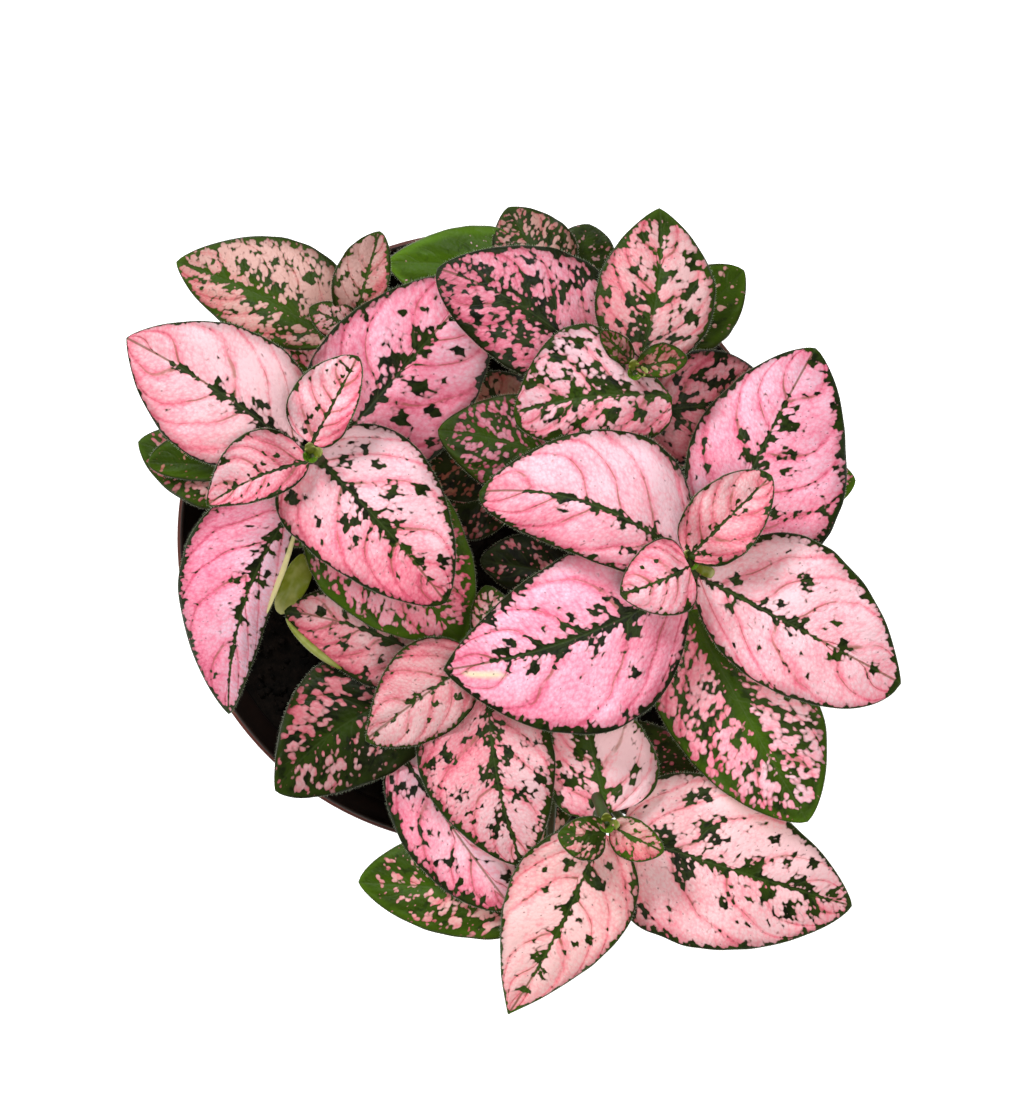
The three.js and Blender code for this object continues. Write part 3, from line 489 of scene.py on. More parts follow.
class Builder:
    """Collects the points, faces and fields of one piece."""

    def __init__(self):
        self.points = []
        self.faces = []
        self.slots = []
        self.fields = {"marking": [], "cells": [], "vein": [], "tint": [], "wear": [], "bleach": []}
        self.count = 0

    def add(self, points, faces, slots, **fields):
        size = len(points)
        self.points.append(np.asarray(points, float))
        self.faces.extend(tuple(self.count + i for i in face) for face in faces)
        self.slots.extend([slots] * len(faces) if np.isscalar(slots) else slots)
        for field, parts in self.fields.items():
            blank = np.zeros(size) if field in ("marking", "bleach") else np.zeros((size, 3))
            parts.append(fields.get(field, blank))
        self.count += size

    def build(self, name, materials):
        piece = add_mesh(name, np.concatenate(self.points), self.faces, materials, self.slots)
        for field, parts in self.fields.items():
            values = np.concatenate(parts)
            kind, key = ("FLOAT", "value") if values.ndim == 1 else ("FLOAT_VECTOR", "vector")
            attribute = piece.data.attributes.new(field, kind, "POINT")
            attribute.data.foreach_set(key, values.ravel().astype(np.float32))
        return piece


LEAF_TOP, LEAF_UNDER, SKIN, HAIR, CURL = range(5)


def crowded(shares, curved):
    """Even steps that are drawn closer together towards the margins."""
    return (1 - CROWDING) * shares + CROWDING * curved


def add_blade(builder, leaf, slot=LEAF_TOP):
    """A thin closed blade: its upper and under face meet along the margin."""
    finer = min(FINEST, 1 / leaf.size ** 2)
    rows = max(14, int(leaf.length * ROWS_PER_MM * math.sqrt(finer)))
    columns = 2 * max(5, int((leaf.left[0] + leaf.right[0]) * COLUMNS_PER_MM * finer / 2))
    t = np.arange(1, rows) / rows
    s = np.linspace(1, -1, columns + 1)
    us = crowded(t, 0.5 - 0.5 * np.cos(np.pi * t))
    vs = crowded(s, np.sin(np.pi * s / 2))
    u, v = (grid.ravel() for grid in np.meshgrid(us, vs, indexing="ij"))

    wobble = smooth_noise(7.3 * leaf.seed + 9 * u, leaf.seed + 2.1 * np.sign(v))
    middle = leaf.middle(u, v * (1 + 0.03 * wobble * np.abs(v)))
    rough = smooth_noise(0.11 * middle[:, 0] + leaf.seed, 0.11 * middle[:, 1])
    middle[:, 2] += ROUGH_HEIGHT * leaf.size * rough * np.abs(v) + leaf.relief(u, v)
    _, offset, from_vein = leaf.distances(u, v)
    ridge = RIB_HEIGHT * np.exp(-((offset / RIB_WIDTH) ** 2)) * np.sqrt(1 - u) * leaf.size
    ridge += VEIN_HEIGHT * np.exp(-((from_vein / VEIN_WIDTH) ** 2)) * (1 - np.abs(v))
    lens = np.sqrt(np.clip(1 - np.abs(v) ** 10, 0, 1))
    upper = middle + np.outer(BLADE_TOP * lens, UP)
    under = middle - np.outer((BLADE_UNDER + ridge) * lens, UP)

    wide = columns + 1
    inner = np.array([r * wide + c for r in range(rows - 1) for c in range(1, columns)])
    base = len(u) + len(inner)
    tip = base + 1
    last = (rows - 2) * wide
    corners = [r * wide + c for r in range(rows - 2) for c in range(columns)]
    faces = [(a, a + 1, a + 1 + wide, a + wide) for a in corners]
    faces += [(base, c + 1, c) for c in range(columns)]
    faces += [(tip, last + c, last + c + 1) for c in range(columns)]
    slots = [slot] * len(faces) + [LEAF_UNDER] * len(faces)
    lower = np.arange(tip + 1)
    lower[inner] = len(u) + np.arange(len(inner))
    lower = lower.tolist()
    faces += [tuple(lower[i] for i in reversed(face)) for face in faces]

    marks = leaf.marks
    points = np.vstack([upper, under[inner], leaf.base, leaf.tip])
    u, v = np.r_[u, u[inner], 0, 1], np.r_[v, v[inner], 0, 0]
    half = leaf.half_width(u, v)
    x = v * half
    y = u * leaf.length - 0.35 * np.abs(x)
    cells = triples(x / marks.grain + 31.7 * leaf.seed, y / marks.grain + 17.3 * leaf.seed,
                    (1 - np.abs(v)) * half)
    near_tip = np.clip(4 * u - 3, 0, 1)
    near_base = np.exp(-(((u - 0.17) / 0.13) ** 2))
    near_margin = np.clip(5 * np.abs(v) - 4, 0, 1)
    tone = marks.tone + marks.drift[0] * (u - 0.5) + marks.drift[1] * v + TIP_STRONGER * near_tip
    # Painted shade: the leaf's own amount, plus more towards the base, the tip and the margin.
    painted_shade = marks.painted_shade + BASE_PAINTED_SHADE * near_base + TIP_PAINTED_SHADE * near_tip + MARGIN_PAINTED_SHADE * near_margin
    builder.add(points, faces, slots, marking=leaf.marking(u, v), bleach=leaf.pale_streak_share(u, v), cells=cells,
                vein=triples(x, leaf.vein_place(u, v), np.abs(v)),
                tint=triples(tone, marks.green, leaf.length * VEIN_SPACING),
                wear=triples(marks.specks, painted_shade, marks.warm))
    return upper.reshape(rows - 1, wide, 3)


def add_tube(builder, centres, radii, sides, slot=SKIN, tone=0):
    """A closed tube through the centres."""
    centres = np.asarray(centres, float)
    tangents = np.gradient(centres, axis=0)
    tangents /= np.linalg.norm(tangents, axis=1)[:, None]
    side = np.cross(tangents[0], [0.3, 1, 0.1])
    points = []
    for centre, tangent, radius in zip(centres, tangents, radii):
        side = side - tangent * np.dot(side, tangent)
        side /= np.linalg.norm(side)
        up = np.cross(tangent, side)
        points += [centre + radius * (x * side + y * up) for x, y in circle(1, sides)]
    faces = ring_faces(0, len(centres), sides, len(points), len(points) + 1)
    points += [centres[0], centres[-1]]
    builder.add(points, faces, slot, tint=np.tile([tone, 0.0, 0.0], (len(points), 1)))


def add_curl(builder, leaf, side, start, end, radius, tone):
    """A stretch of margin that is rolled up, so that its pale underside shows."""
    us = np.linspace(start, end, 40)
    centres = leaf.middle(us, np.full_like(us, side * (1 - 0.5 * radius / leaf.left[0])))
    centres[:, 2] += 0.4 * radius
    swell = np.sin(np.pi * np.linspace(0.02, 0.98, 40)) ** 0.6
    add_tube(builder, centres, radius * swell, 10, CURL, tone)


def add_hairs(builder, leaf, upper, rng):
    """Short pale hairs that stand out from the margin."""
    points = []
    for column, outwards in ((0, 1), (-1, -1)):
        margin = upper[:, column]
        travelled = np.r_[0, np.cumsum(np.linalg.norm(np.diff(margin, axis=0), axis=1))]
        for place in np.arange(0.1 * travelled[-1], travelled[-1], HAIR_SPACING):
            place += rng.uniform(-0.3, 0.3) * HAIR_SPACING
            root, ahead = (np.array([np.interp(at, travelled, margin[:, axis]) for axis in range(3)])
                           for at in (place, place + 0.3))
            run = ahead - root
            if np.linalg.norm(run) < 1e-6:
                continue
            run /= np.linalg.norm(run)
            out = outwards * np.array([-run[1], run[0], 0])
            reach = HAIR_LENGTH * rng.uniform(0.5, 1.2) * (0.5 + 0.5 * leaf.size)
            way = out + run * rng.uniform(0.1, 0.9) + rng.uniform(-0.3, 0.5) * UP
            foot = root - HAIR_DEPTH * out
            points += [foot + HAIR_THICKNESS * run, foot - HAIR_THICKNESS * run, foot + HAIR_THICKNESS * UP,
                       root + way * reach / np.linalg.norm(way)]
    faces = [(a + i, a + j, a + k) for a in range(0, len(points), 4)
             for i, j, k in ((0, 1, 3), (1, 2, 3), (2, 0, 3), (0, 2, 1))]
    builder.add(points, faces, HAIR)


class Stem:
    """The stem's line, which leans out more and more from the soil to its top."""

    def __init__(self, root, top):
        self.root = np.array([root[0], root[1], SOIL_TOP + 2])
        self.top = np.array([top[0], top[1], RIM_HEIGHT + top[2]])

    def at(self, t):
        point = self.root + (self.top - self.root) * t ** STEM_LEAN
        point[2] = self.root[2] + (self.top[2] - self.root[2]) * t
        return point

    def at_height(self, height):
        t = (height - self.root[2]) / (self.top[2] - self.root[2])
        return self.at(min(1.0, max(0.0, t)))


def add_stem(builder, stem, leaves):
    """The stem, swollen where its stalks leave it, and the stalks."""
    heights = []
    for leaf in leaves:
        reach = np.linalg.norm(leaf.base - stem.at_height(leaf.base[2]))
        heights.append(leaf.base[2] - STALK_DROP - STALK_SLOPE * reach)
    centres = [stem.root + z * UP for z in (-ROOT_DEPTH - 1.7, -10, -5, -2)]
    radii = [STEM_RADIUS] * len(centres)
    for t in (i / STEM_STEPS for i in range(STEM_STEPS + 1)):
        point = stem.at(t)
        swelling = sum(KNOT_SWELLING * math.exp(-((point[2] - z) / KNOT_HEIGHT) ** 2) for z in heights)
        centres.append(point)
        radii.append(STEM_RADIUS * (1 - STEM_TAPER * t) + min(0.5, swelling) * (1 - 0.7 * t ** 4))
    radii[-1] *= 0.5
    add_tube(builder, centres, radii, STEM_SIDES)
    for leaf, height in zip(leaves, heights):
        start = stem.at_height(height)
        bend = leaf.base - STALK_RADIUS * UP
        end = leaf.middle(np.array([STALK_SHARE]), np.array([0.0]))[0] - 1.35 * STALK_RADIUS * UP
        width = STALK_RADIUS * (0.55 + 0.45 * leaf.size)
        ts = np.linspace(0, 1, 14)
        line = [(1 - t) ** 2 * start + 2 * t * (1 - t) * bend + t * t * end for t in ts]
        add_tube(builder, line, width * (1.1 - 0.55 * ts), STALK_SIDES)


def add_bud(builder, stem, rng):
    """The unfolding pairs of tiny leaves at the top of a stem."""
    x, y, top = stem.top
    height = top - RIM_HEIGHT
    for k, reach in enumerate(BUD_REACHES):
        angle = rng.uniform(0, 0.6) + k * math.pi / 2
        base = (x + 0.3 * math.cos(angle), y + 0.3 * math.sin(angle), height - 0.4)
        tip = (x + reach * math.cos(angle), y + reach * math.sin(angle), height + BUD_HEIGHT)
        marks = Look(rng.uniform(0, .15), 1, (.5, 1), (.3, 1), (.4, .4), .5, grain=.5)
        row = (base, tip, BUD_HALF, BUD_HALF, 0, 0.3, (.3, .3), marks)
        add_blade(builder, Leaf(row, k, rng.uniform(0, 9)), CURL if k < 2 else LEAF_TOP)


class Material:
    """A new material. Most of its methods add a node and give the node's result. flat: its noise lies on a
    blade, in the field cells, and doesn't fill space."""

    def __init__(self, name, flat=False):
        self.data = bpy.data.materials.new(name)
        self.data.use_nodes = True
        self.tree = self.data.node_tree
        self.inputs = self.tree.nodes["Principled BSDF"].inputs
        self.dimensions = "2D" if flat else "3D"
        self.place = self.attribute("cells") if flat else self.node("TexCoord", {}).outputs["Object"]

    def link(self, value, socket):
        if isinstance(value, bpy.types.NodeSocket):
            self.tree.links.new(value, socket)
        else:
            socket.default_value = value

    def node(self, kind, entries, **settings):
        node = self.tree.nodes.new("ShaderNode" + kind)
        for setting, value in settings.items():
            setattr(node, setting, value)
        for key, value in entries.items():
            self.link(value, node.inputs[key])
        return node

    def attribute(self, name, output="Vector"):
        return self.node("Attribute", {}, attribute_name=name).outputs[output]

    def split(self, vector):
        """The three parts of a vector, or of the field with that name."""
        if isinstance(vector, str):
            vector = self.attribute(vector)
        return self.node("SeparateXYZ", {0: vector}).outputs

    def math(self, operation, *values, clamp=False):
        return self.node("Math", dict(enumerate(values)), operation=operation, use_clamp=clamp).outputs[0]

    def times(self, a, b):
        return self.math("MULTIPLY", a, b)

    def minus(self, a, b):
        return self.math("SUBTRACT", a, b)

    def plus(self, base, share, value, clamp=False):
        """The base and a share of the value."""
        return self.math("MULTIPLY_ADD", value, share, base, clamp=clamp)

    def vary(self, base, share, value, middle=0.5, clamp=False):
        """The base and a share of how far the value is over its middle."""
        return self.plus(base, share, self.minus(value, middle), clamp)

    def step(self, value, low, high):
        """0 below low and 1 above high, smooth between."""
        return self.node("MapRange", {0: value, 1: low, 2: high}, interpolation_type="SMOOTHSTEP").outputs[0]

    def fade(self, value, low, high):
        """1 below low and 0 above high, smooth between."""
        return self.minus(1.0, self.step(value, low, high))

    def noise(self, scale, detail=2.0, rough=0.5, distortion=0.0):
        entries = {"Vector": self.place, "Scale": scale, "Detail": detail, "Roughness": rough,
                   "Distortion": distortion}
        return self.node("TexNoise", entries, noise_dimensions=self.dimensions).outputs["Fac"]

    def cells(self, scale, output="Distance", feature="F1"):
        node = self.node("TexVoronoi", {}, feature=feature, voronoi_dimensions="2D")
        self.link(self.place, node.inputs["Vector"])
        self.link(scale, node.inputs["Scale"])
        if feature == "SMOOTH_F1":
            self.link(0.25, node.inputs["Smoothness"])
        return node.outputs[output]

    def mix(self, share, a, b, blend_type="MIX"):
        entries = {0: share, 6: a, 7: b}
        return self.node("Mix", entries, data_type="RGBA", blend_type=blend_type).outputs[2]

    def ramp(self, value, stops):
        """A colour from evenly spaced stops, for a value from 0 to 1."""
        node = self.node("ValToRGB", {0: value})
        elements = node.color_ramp.elements
        for _ in stops[2:]:
            elements.new(0.5)
        for i, stop in enumerate(stops):
            elements[i].position = i / (len(stops) - 1)
            elements[i].color = stop
        return node.outputs["Color"]

    def finish(self, colour, roughness, specular=0.5, bump=None):
        """Sets the surface. bump: the height's field, strength and size in millimetres."""
        self.link(colour, self.inputs["Base Color"])
        self.link(roughness, self.inputs["Roughness"])
        self.link(specular, self.inputs["Specular IOR Level"])
        if bump:
            entries = {"Height": bump[0], "Strength": bump[1], "Distance": bump[2] * MM}
            self.link(self.node("Bump", entries).outputs[0], self.inputs["Normal"])
        return self.data


def rgb(red, green, blue):
    """A colour as seen on screen, 0 to 255, as linear light."""
    shares = [value / 255 for value in (red, green, blue)]
    return (*(s / 12.92 if s <= 0.04045 else ((s + 0.055) / 1.055) ** 2.4 for s in shares), 1.0)


PINKS = [rgb(255, 216, 238), rgb(255, 190, 214), rgb(255, 160, 188), rgb(250, 130, 163), rgb(228, 96, 132)]
BLACK_GREEN = rgb(9, 14, 2)
DARK_GREEN = rgb(27, 33, 10)
FRESH_GREEN = rgb(64, 96, 8)
BRIGHT_GREEN = rgb(92, 134, 22)
VEIN_OLIVE = rgb(108, 84, 40)
VEIN_BROWN = rgb(160, 98, 64)
VEIN_LIGHT = rgb(78, 98, 50)
EDGE_BROWN = rgb(136, 72, 62)
SPECK_DARK = rgb(80, 48, 44)
MARGIN_PALE = rgb(150, 158, 124)
STREAK_PALE_YELLOW = rgb(252, 238, 200)
WARM = rgb(250, 222, 150)
# Painted shade: the tint that darkens and dulls leaves where they lie in shade.
PAINTED_SHADE_TINT = rgb(122, 104, 96)
UNDER_PINK = rgb(206, 170, 150)
UNDER_GREEN = rgb(116, 132, 74)
CURL_OLIVE = rgb(104, 116, 14)
CURL_CREAM = rgb(236, 232, 170)
STEM_OLIVE = rgb(50, 70, 22)
STEM_BROWN = rgb(56, 54, 26)
HAIR_PALE = rgb(180, 188, 164)
HAIR_GREEN = rgb(170, 186, 150)
POT_COLOURS = rgb(72, 30, 20), rgb(86, 38, 26), rgb(140, 94, 74)
# Painted shade: the pot's plastic inside the rim, drawn near black because the inside lies in shade.
SHADED_INSIDE_COLOURS = rgb(17, 7, 4), rgb(24, 10, 6), rgb(44, 26, 18)
PEAT_COLOURS = rgb(5, 4, 3), rgb(17, 12, 9)


def green_mask(m, away):
    """Where the blade is green: the marking field against noise, which gives it rounded lobes. Green comes
    more readily along the side veins, which are away from here by so many millimetres."""
    field = m.math("ADD", m.attribute("marking", "Fac"), m.times(m.fade(away, 0.0, 0.9), 0.36))
    jag = m.times(m.minus(m.noise(0.4, 0.0, 0.5, 0.2), 0.5), 1.6)
    jag = m.vary(jag, 1.0, m.noise(1.1, 0.0, 0.5, 0.3))
    jag = m.vary(jag, 1.5, m.cells(0.85, feature="SMOOTH_F1"), 0.36)
    total = m.minus(m.math("ADD", field, jag), 0.27)
    return m.step(total, -0.16, 0.08), total


def dots(m, share):
    """Tiny dark dots, a few to each leaf."""
    chance = m.split(m.cells(0.8, output="Color"))
    near = m.fade(m.cells(0.8), 0.04, m.plus(0.08, 0.14, chance[2]))
    wanted = m.math("LESS_THAN", chance[1], m.times(share, m.times(m.noise(0.16, 1.0), 0.4)))
    return m.times(near, wanted)


def vein_lines(m):
    """Thin lines along the side veins and the midrib, and the millimetres to the nearest side vein."""
    across, along, outward = m.split("vein")
    place = m.vary(m.math("ADD", along, 0.5), 0.4, m.noise(0.14, 1.0, 0.4))
    away = m.times(m.math("ABSOLUTE", m.minus(m.math("FRACT", place), 0.5)), m.split("tint")[2])
    width = m.plus(0.5, -0.3, outward)
    side = m.fade(away, m.times(width, 0.2), width)
    side = m.times(side, m.plus(0.25, 0.75, m.step(m.noise(0.35, 1.0), 0.36, 0.56)))
    side = m.times(side, m.minus(1.0, m.math("POWER", outward, 1.8)))
    rib = m.fade(m.math("ABSOLUTE", across), 0.08, 0.3)
    return m.math("MAXIMUM", side, rib), away


def make_leaf_top():
    m = Material("leaf_top", flat=True)
    lines, away = vein_lines(m)
    mask, total = green_mask(m, away)
    tone, green, _ = m.split("tint")
    specks, painted_shade, warm = m.split("wear")
    across, _, outward = m.split("vein")
    from_rim = m.split("cells")[2]
    mask = m.math("MAXIMUM", mask, m.fade(from_rim, 0.2, 0.32))
    soft = m.noise(0.12, 2.0)
    fine = m.noise(2.6, 1.0, 0.6)
    medium = m.noise(0.5, 2.0, 0.6)
    mottle_and_highlight = m.cells(1.25, feature="SMOOTH_F1")
    net = m.fade(m.cells(0.75, feature="DISTANCE_TO_EDGE"), 0.0, 0.1)
    painted_puff_light = m.step(away, 0.1, 1.7)

    tone = m.vary(tone, 1.4, soft)
    tone = m.plus(tone, 0.3, m.fade(from_rim, 0.2, 4.0))
    # Small cells, paler at their centres: partly the leaf's own mottling, partly a painted highlight on the
    # raised cell centres.
    tone = m.vary(tone, 0.75, mottle_and_highlight, 0.4)
    tone = m.plus(tone, 0.08, net)
    tone = m.vary(tone, 0.9, medium)
    tone = m.vary(tone, 0.75, fine)
    # Painted highlight and shade of the quilting: the pink is drawn paler on the bulges between the side
    # veins and deeper in the grooves along them.
    tone = m.plus(tone, 0.75, m.minus(0.4, painted_puff_light))
    pink = m.ramp(m.plus(0.25, 0.5, tone), PINKS)
    vein_colour = m.mix(m.step(outward, -0.2, 0.5), VEIN_OLIVE, VEIN_BROWN)
    pink = m.mix(m.times(lines, 0.8), pink, vein_colour)
    # A pale yellow streak over the pink, on a leaf that has one.
    pink = m.mix(m.attribute("bleach", "Fac"), pink, STREAK_PALE_YELLOW)
    pink = m.mix(m.times(dots(m, specks), 0.65), pink, SPECK_DARK)
    pink = m.mix(warm, pink, WARM, "MULTIPLY")
    pink = m.mix(m.times(m.step(total, -0.5, -0.08), 0.5), pink, EDGE_BROWN)
    # Painted shade: the pink is darkened and dulled where the leaf lies in shade.
    pink = m.mix(painted_shade, pink, PAINTED_SHADE_TINT, "MULTIPLY")

    by_rib = m.fade(m.math("ABSOLUTE", across), 0.4, 3.0)
    fresh = m.vary(m.times(green, m.plus(0.85, 0.7, by_rib)), 0.9, soft, clamp=True)
    lit = m.math("ADD", m.step(medium, 0.28, 0.6), m.times(fresh, 0.8), clamp=True)
    border = m.times(m.fade(from_rim, 0.3, 2.4), green)
    leafy = m.mix(lit, BLACK_GREEN, m.mix(fresh, DARK_GREEN, FRESH_GREEN))
    leafy = m.mix(m.times(border, 0.75), leafy, BRIGHT_GREEN)
    leafy = m.mix(m.times(lines, 0.25), leafy, VEIN_LIGHT)
    leafy = m.mix(m.times(m.fade(from_rim, 0.06, 0.16), 0.6), leafy, MARGIN_PALE)
    # Painted shade: the green is darkened and dulled where the leaf lies in shade.
    leafy = m.mix(m.times(painted_shade, 0.9), leafy, PAINTED_SHADE_TINT, "MULTIPLY")

    height = m.plus(m.times(lines, -0.8), -1.1, mottle_and_highlight)
    height = m.plus(height, -0.2, net)
    height = m.plus(height, 0.4, fine)
    height = m.plus(height, -0.3, mask)
    return m.finish(m.mix(mask, pink, leafy), m.plus(0.36, 0.25, fine), m.plus(0.42, -0.31, mask),
                    (height, 0.45, 0.16))


def make_leaf_under():
    m = Material("leaf_under", flat=True)
    lines, away = vein_lines(m)
    blurred = m.step(green_mask(m, away)[1], -0.5, 0.5)
    colour = m.mix(m.times(blurred, 0.8), UNDER_PINK, UNDER_GREEN)
    colour = m.mix(m.times(lines, 0.5), colour, STEM_OLIVE)
    return m.finish(colour, 0.6, 0.25, (m.plus(m.times(lines, 0.9), 0.3, m.cells(2.4)), 0.35, 0.12))


def make_skin():
    m = Material("stem_skin")
    colour = m.mix(m.step(m.noise(260.0, 3.0), 0.4, 0.65), STEM_OLIVE, STEM_BROWN)
    return m.finish(colour, 0.55, bump=(m.noise(1400.0), 0.3, 0.1))


def make_hair():
    m = Material("hair_pale")
    return m.finish(m.mix(m.noise(300.0), HAIR_PALE, HAIR_GREEN), 0.5)


def make_curl():
    m = Material("leaf_curl")
    share = m.vary(m.split("tint")[0], 0.6, m.noise(300.0, 3.0), clamp=True)
    return m.finish(m.mix(share, CURL_OLIVE, CURL_CREAM), 0.5, 0.3, (m.noise(1500.0), 0.3, 0.1))


def make_plastic(name, dark, light, dust):
    m = Material(name)
    cloud = m.noise(30.0, 4.0)
    speck = m.noise(900.0)
    colour = m.mix(m.step(cloud, 0.35, 0.7), dark, light)
    colour = m.mix(m.times(m.step(speck, 0.62, 0.75), 0.2), colour, dust)
    return m.finish(colour, m.plus(0.36, 0.3, cloud), 0.35, (speck, 0.12, 0.1))


def make_peat():
    m = Material("soil_peat")
    crumbs = m.noise(420.0, 4.0, 0.65)
    return m.finish(m.mix(m.step(crumbs, 0.35, 0.7), *PEAT_COLOURS), 0.95, 0.06, (crumbs, 0.8, 0.5))


def arc(cx, cz, radius, start, end, steps):
    """Points of an arc in the plane of (radius, height), with angles in degrees."""
    angles = [math.radians(start + (end - start) * i / steps) for i in range(steps + 1)]
    return [(cx + radius * math.cos(a), cz + radius * math.sin(a)) for a in angles]


# Pot
BASE_RADIUS = 43
WALL = 1.3
POT_FLOOR = 2.2
POT_SIDES = 144
LIP_HEIGHT = 9
LIP_STEP = 1.2
LIP_TAPER = 1.4
LIP_ROUNDING = WALL / 2
FOOT_ROUNDING = 1.6
DRAIN_HOLES = 6
DRAIN_RADIUS = 3.5
DRAIN_CIRCLE = 34
NECK_HEIGHT = RIM_HEIGHT - LIP_HEIGHT
NECK_RADIUS = RIM_RADIUS - LIP_TAPER - LIP_STEP


def make_pot(materials):
    """A solid of revolution with drain holes. Its second material, a far darker copy of the plastic that
    paints the shade inside the pot, starts at the top of the lip.
    """
    profile = arc(BASE_RADIUS - FOOT_ROUNDING, FOOT_ROUNDING, FOOT_ROUNDING, -90, 0, 5)
    profile += [(NECK_RADIUS, NECK_HEIGHT - LIP_STEP), (NECK_RADIUS + 0.15, NECK_HEIGHT - LIP_STEP + 0.1)]
    profile += arc(RIM_RADIUS - LIP_TAPER - 0.5, NECK_HEIGHT + 0.3, 0.5, -80, 0, 4)
    profile += arc(RIM_RADIUS - LIP_ROUNDING, RIM_HEIGHT - LIP_ROUNDING, LIP_ROUNDING, 0, 180, 10)
    inside_from = len(profile) - 6
    profile += [(RIM_RADIUS - WALL - 0.4, RIM_HEIGHT - 2.6),
                (RIM_RADIUS - LIP_TAPER - WALL, NECK_HEIGHT + 0.8),
                (NECK_RADIUS - WALL, NECK_HEIGHT - LIP_STEP)]
    profile += arc(BASE_RADIUS - WALL - 1, POT_FLOOR + 1, 1, 0, -90, 4)
    points = [(0, 0, 0), (0, 0, POT_FLOOR)]
    points += [(x, y, height) for radius, height in profile for x, y in circle(radius, POT_SIDES)]
    faces = ring_faces(2, len(profile), POT_SIDES, 0, 1)
    inside = [len(face) == 4 and (min(face) - 2) // POT_SIDES >= inside_from or 1 in face for face in faces]
    pot = add_mesh("pot_moulded", points, faces, materials, [int(flag) for flag in inside])
    for x, y in circle(DRAIN_CIRCLE, DRAIN_HOLES):
        bpy.ops.mesh.primitive_cylinder_add(vertices=32, radius=DRAIN_RADIUS * MM, depth=8 * MM,
                                            location=(x * MM, y * MM, MM))
        cutter = bpy.context.object
        cut = pot.modifiers.new("drain", "BOOLEAN")
        cut.operation = "DIFFERENCE"
        cut.solver = "EXACT"
        cut.object = cutter
        bpy.context.view_layer.objects.active = pot
        bpy.ops.object.modifier_apply(modifier=cut.name)
        bpy.data.objects.remove(cutter)
    pot.data.shade_smooth()
    pot.data.set_sharp_from_angle(angle=math.radians(35))
    return pot


# Soil
SOIL_RINGS, SOIL_SIDES = 84, 200
SOIL_RELIEF = 1.1
SOIL_RADIUS = NECK_RADIUS - WALL - 0.3
SOIL_BOTTOM = POT_FLOOR + 0.3
CRUMBS = 1500
CRUMB_SIZES = 0.35, 1.3
CRUMB_POINTS = [(1, 0, 0), (-1, 0, 0), (0, 1, 0), (0, -1, 0), (0, 0, 1), (0, 0, -1)]
CRUMB_FACES = [(0, 2, 4), (2, 1, 4), (1, 3, 4), (3, 0, 4), (2, 0, 5), (1, 2, 5), (3, 1, 5), (0, 3, 5)]


def soil_height(x, y):
    """The soil's lumpy surface, as in the solid that it stands for, with its crumbs."""
    coarse = math.sin(0.21 * x + 1.3) * math.cos(0.17 * y - 0.4)
    fine = 0.6 * math.sin(0.43 * x - 0.31 * y + 2)
    crumbs = noise.fractal(Vector((0.55 * x, 0.55 * y, 4.2)), 0.8, 2.0, 4)
    return SOIL_TOP + SOIL_RELIEF * (coarse + fine) + 0.9 * crumbs


def make_soil(material):
    points = [(0, 0, soil_height(0, 0))]
    for ring in range(1, SOIL_RINGS + 1):
        fall = max(0, (ring - SOIL_RINGS + 3) / 3)
        for x, y in circle(SOIL_RADIUS * ring / SOIL_RINGS, SOIL_SIDES):
            points.append((x, y, (1 - fall) * soil_height(x, y) + fall * SOIL_TOP))
    low = [(SOIL_RADIUS - 0.15, NECK_HEIGHT - 2.4), (BASE_RADIUS - WALL - 1.6, SOIL_BOTTOM)]
    points += [(x, y, height) for radius, height in low for x, y in circle(radius, SOIL_SIDES)]
    faces = ring_faces(1, SOIL_RINGS + len(low), SOIL_SIDES, 0, len(points))
    points.append((0, 0, SOIL_BOTTOM))
    builder = Builder()
    builder.add(points, [(face[0], *face[:0:-1]) for face in faces], 0)
    rng = random.Random(5)
    for _ in range(CRUMBS):
        radius = (SOIL_RADIUS - 1.5) * math.sqrt(rng.random())
        angle = rng.uniform(0, 2 * math.pi)
        x, y = radius * math.cos(angle), radius * math.sin(angle)
        size = rng.uniform(*CRUMB_SIZES)
        z = soil_height(x, y) + 0.2 * size
        turn = rng.uniform(0, 3)
        crumb = []
        for cx, cy, cz in CRUMB_POINTS:
            stretch = size * rng.uniform(0.7, 1.3)
            crumb.append((x + stretch * (cx * math.cos(turn) - cy * math.sin(turn)),
                          y + stretch * (cx * math.sin(turn) + cy * math.cos(turn)), z + 0.7 * stretch * cz))
        builder.add(crumb, CRUMB_FACES, 0)
    return builder.build("soil_crumbly", [material])


# Stage. The photograph looks straight down from CAMERA_DISTANCE over the rim.
CAMERA_X, CAMERA_Y, CAMERA_DISTANCE = 5.3, -4.2, 700
SENSOR = 24
VIEW_HEIGHT = 199.5 * 1120 / 1024
HALF_FLOOR = 5.0
FLOOR_GLOW = 1.0
WORLD_GLOW = 0.16
AIM = Vector((0, 0, 0.12))


def make_camera():
    data = bpy.data.cameras.new("camera")
    data.sensor_fit = "VERTICAL"
    data.sensor_height = SENSOR
    data.lens = SENSOR * CAMERA_DISTANCE / VIEW_HEIGHT
    data.clip_start = 0.01
    data.clip_end = 20
    place = (CAMERA_X * MM, CAMERA_Y * MM, (RIM_HEIGHT + CAMERA_DISTANCE) * MM)
    bpy.context.scene.camera = add_object("camera", data, place)


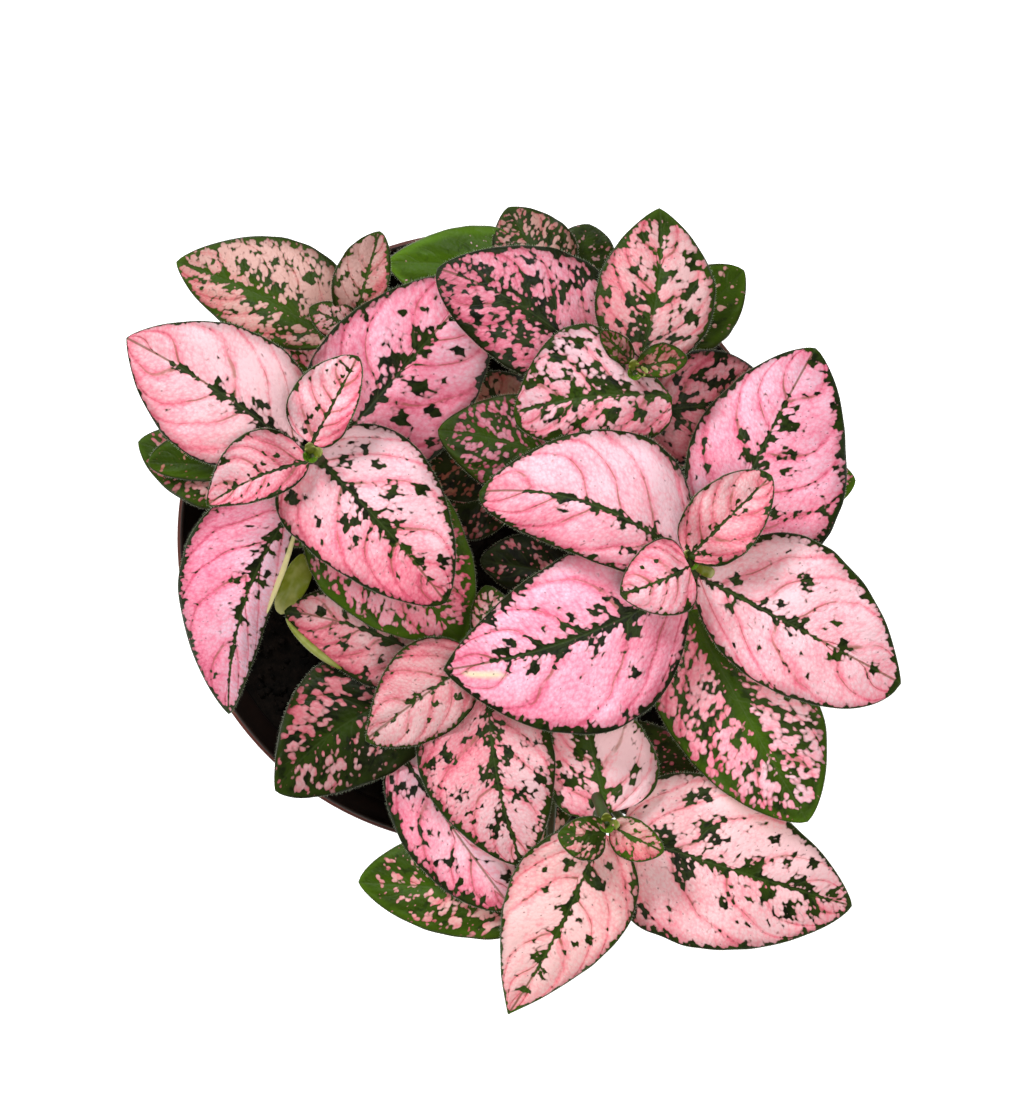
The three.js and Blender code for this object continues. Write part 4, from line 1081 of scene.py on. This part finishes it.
def make_floor():
    m = Material("floor_white")
    m.link((1, 1, 1, 1), m.inputs["Emission Color"])
    m.link(FLOOR_GLOW, m.inputs["Emission Strength"])
    corners = [(x * HALF_FLOOR / MM, y * HALF_FLOOR / MM, 0) for x, y in ((-1, -1), (1, -1), (1, 1), (-1, 1))]
    floor = add_mesh("floor", corners, [(0, 1, 2, 3)], [m.finish((0.9, 0.9, 0.9, 1), 0.8)], [0])


def add_light(name, place, size, power, colour):
    data = bpy.data.lights.new(name, "AREA")
    data.shape = "DISK"
    data.size = size
    data.energy = power
    data.color = colour
    light = add_object(name, data, place)
    light.rotation_euler = (AIM - Vector(place)).to_track_quat("-Z", "Y").to_euler()


def make_light():
    add_light("key", (-0.5, 0.6, 0.95), 0.35, 10.4, (0.95, 0.975, 1))
    add_light("top", (0.15, -0.1, 1.5), 0.7, 11.4, (1, 0.96, 0.92))
    world = bpy.data.worlds.new("studio")
    world.use_nodes = True
    background = world.node_tree.nodes["Background"].inputs
    background["Color"].default_value = (1, 0.9, 0.84, 1)
    background["Strength"].default_value = WORLD_GLOW
    bpy.context.scene.world = world
    bpy.context.scene.view_settings.view_transform = "Standard"


def settle(piece, node):
    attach(piece, "root")
    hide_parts(node)


for unwanted in [o for o in bpy.data.objects if o.name in ("Cube", "Light", "Camera")]:
    bpy.data.objects.remove(unwanted)
make_camera()
make_floor()
make_light()
plastic = [make_plastic("pot_plastic", *POT_COLOURS), make_plastic("pot_inside_shaded", *SHADED_INSIDE_COLOURS)]
settle(make_pot(plastic), "pot")
settle(make_soil(make_peat()), "soil")
leaf_materials = [make_leaf_top(), make_leaf_under(), make_skin(), make_hair(), make_curl()]
for number, (name, (root, top, rows)) in enumerate(STEMS.items()):
    rng = random.Random(100 + number)
    builder = Builder()
    stem = Stem(root, top)
    leaves = [Leaf(row, index, rng.uniform(0, 9)) for index, row in enumerate(rows)]
    for leaf in leaves:
        add_hairs(builder, leaf, add_blade(builder, leaf), rng)
    if name in CURLS:
        index, *curl = CURLS[name]
        add_curl(builder, leaves[index], *curl)
    if name in FLAPS:
        add_blade(builder, Leaf(FLAPS[name], 1, 3.0), CURL)
    add_stem(builder, stem, leaves)
    add_bud(builder, stem, rng)
    settle(builder.build(name + "_leafy", leaf_materials), name)
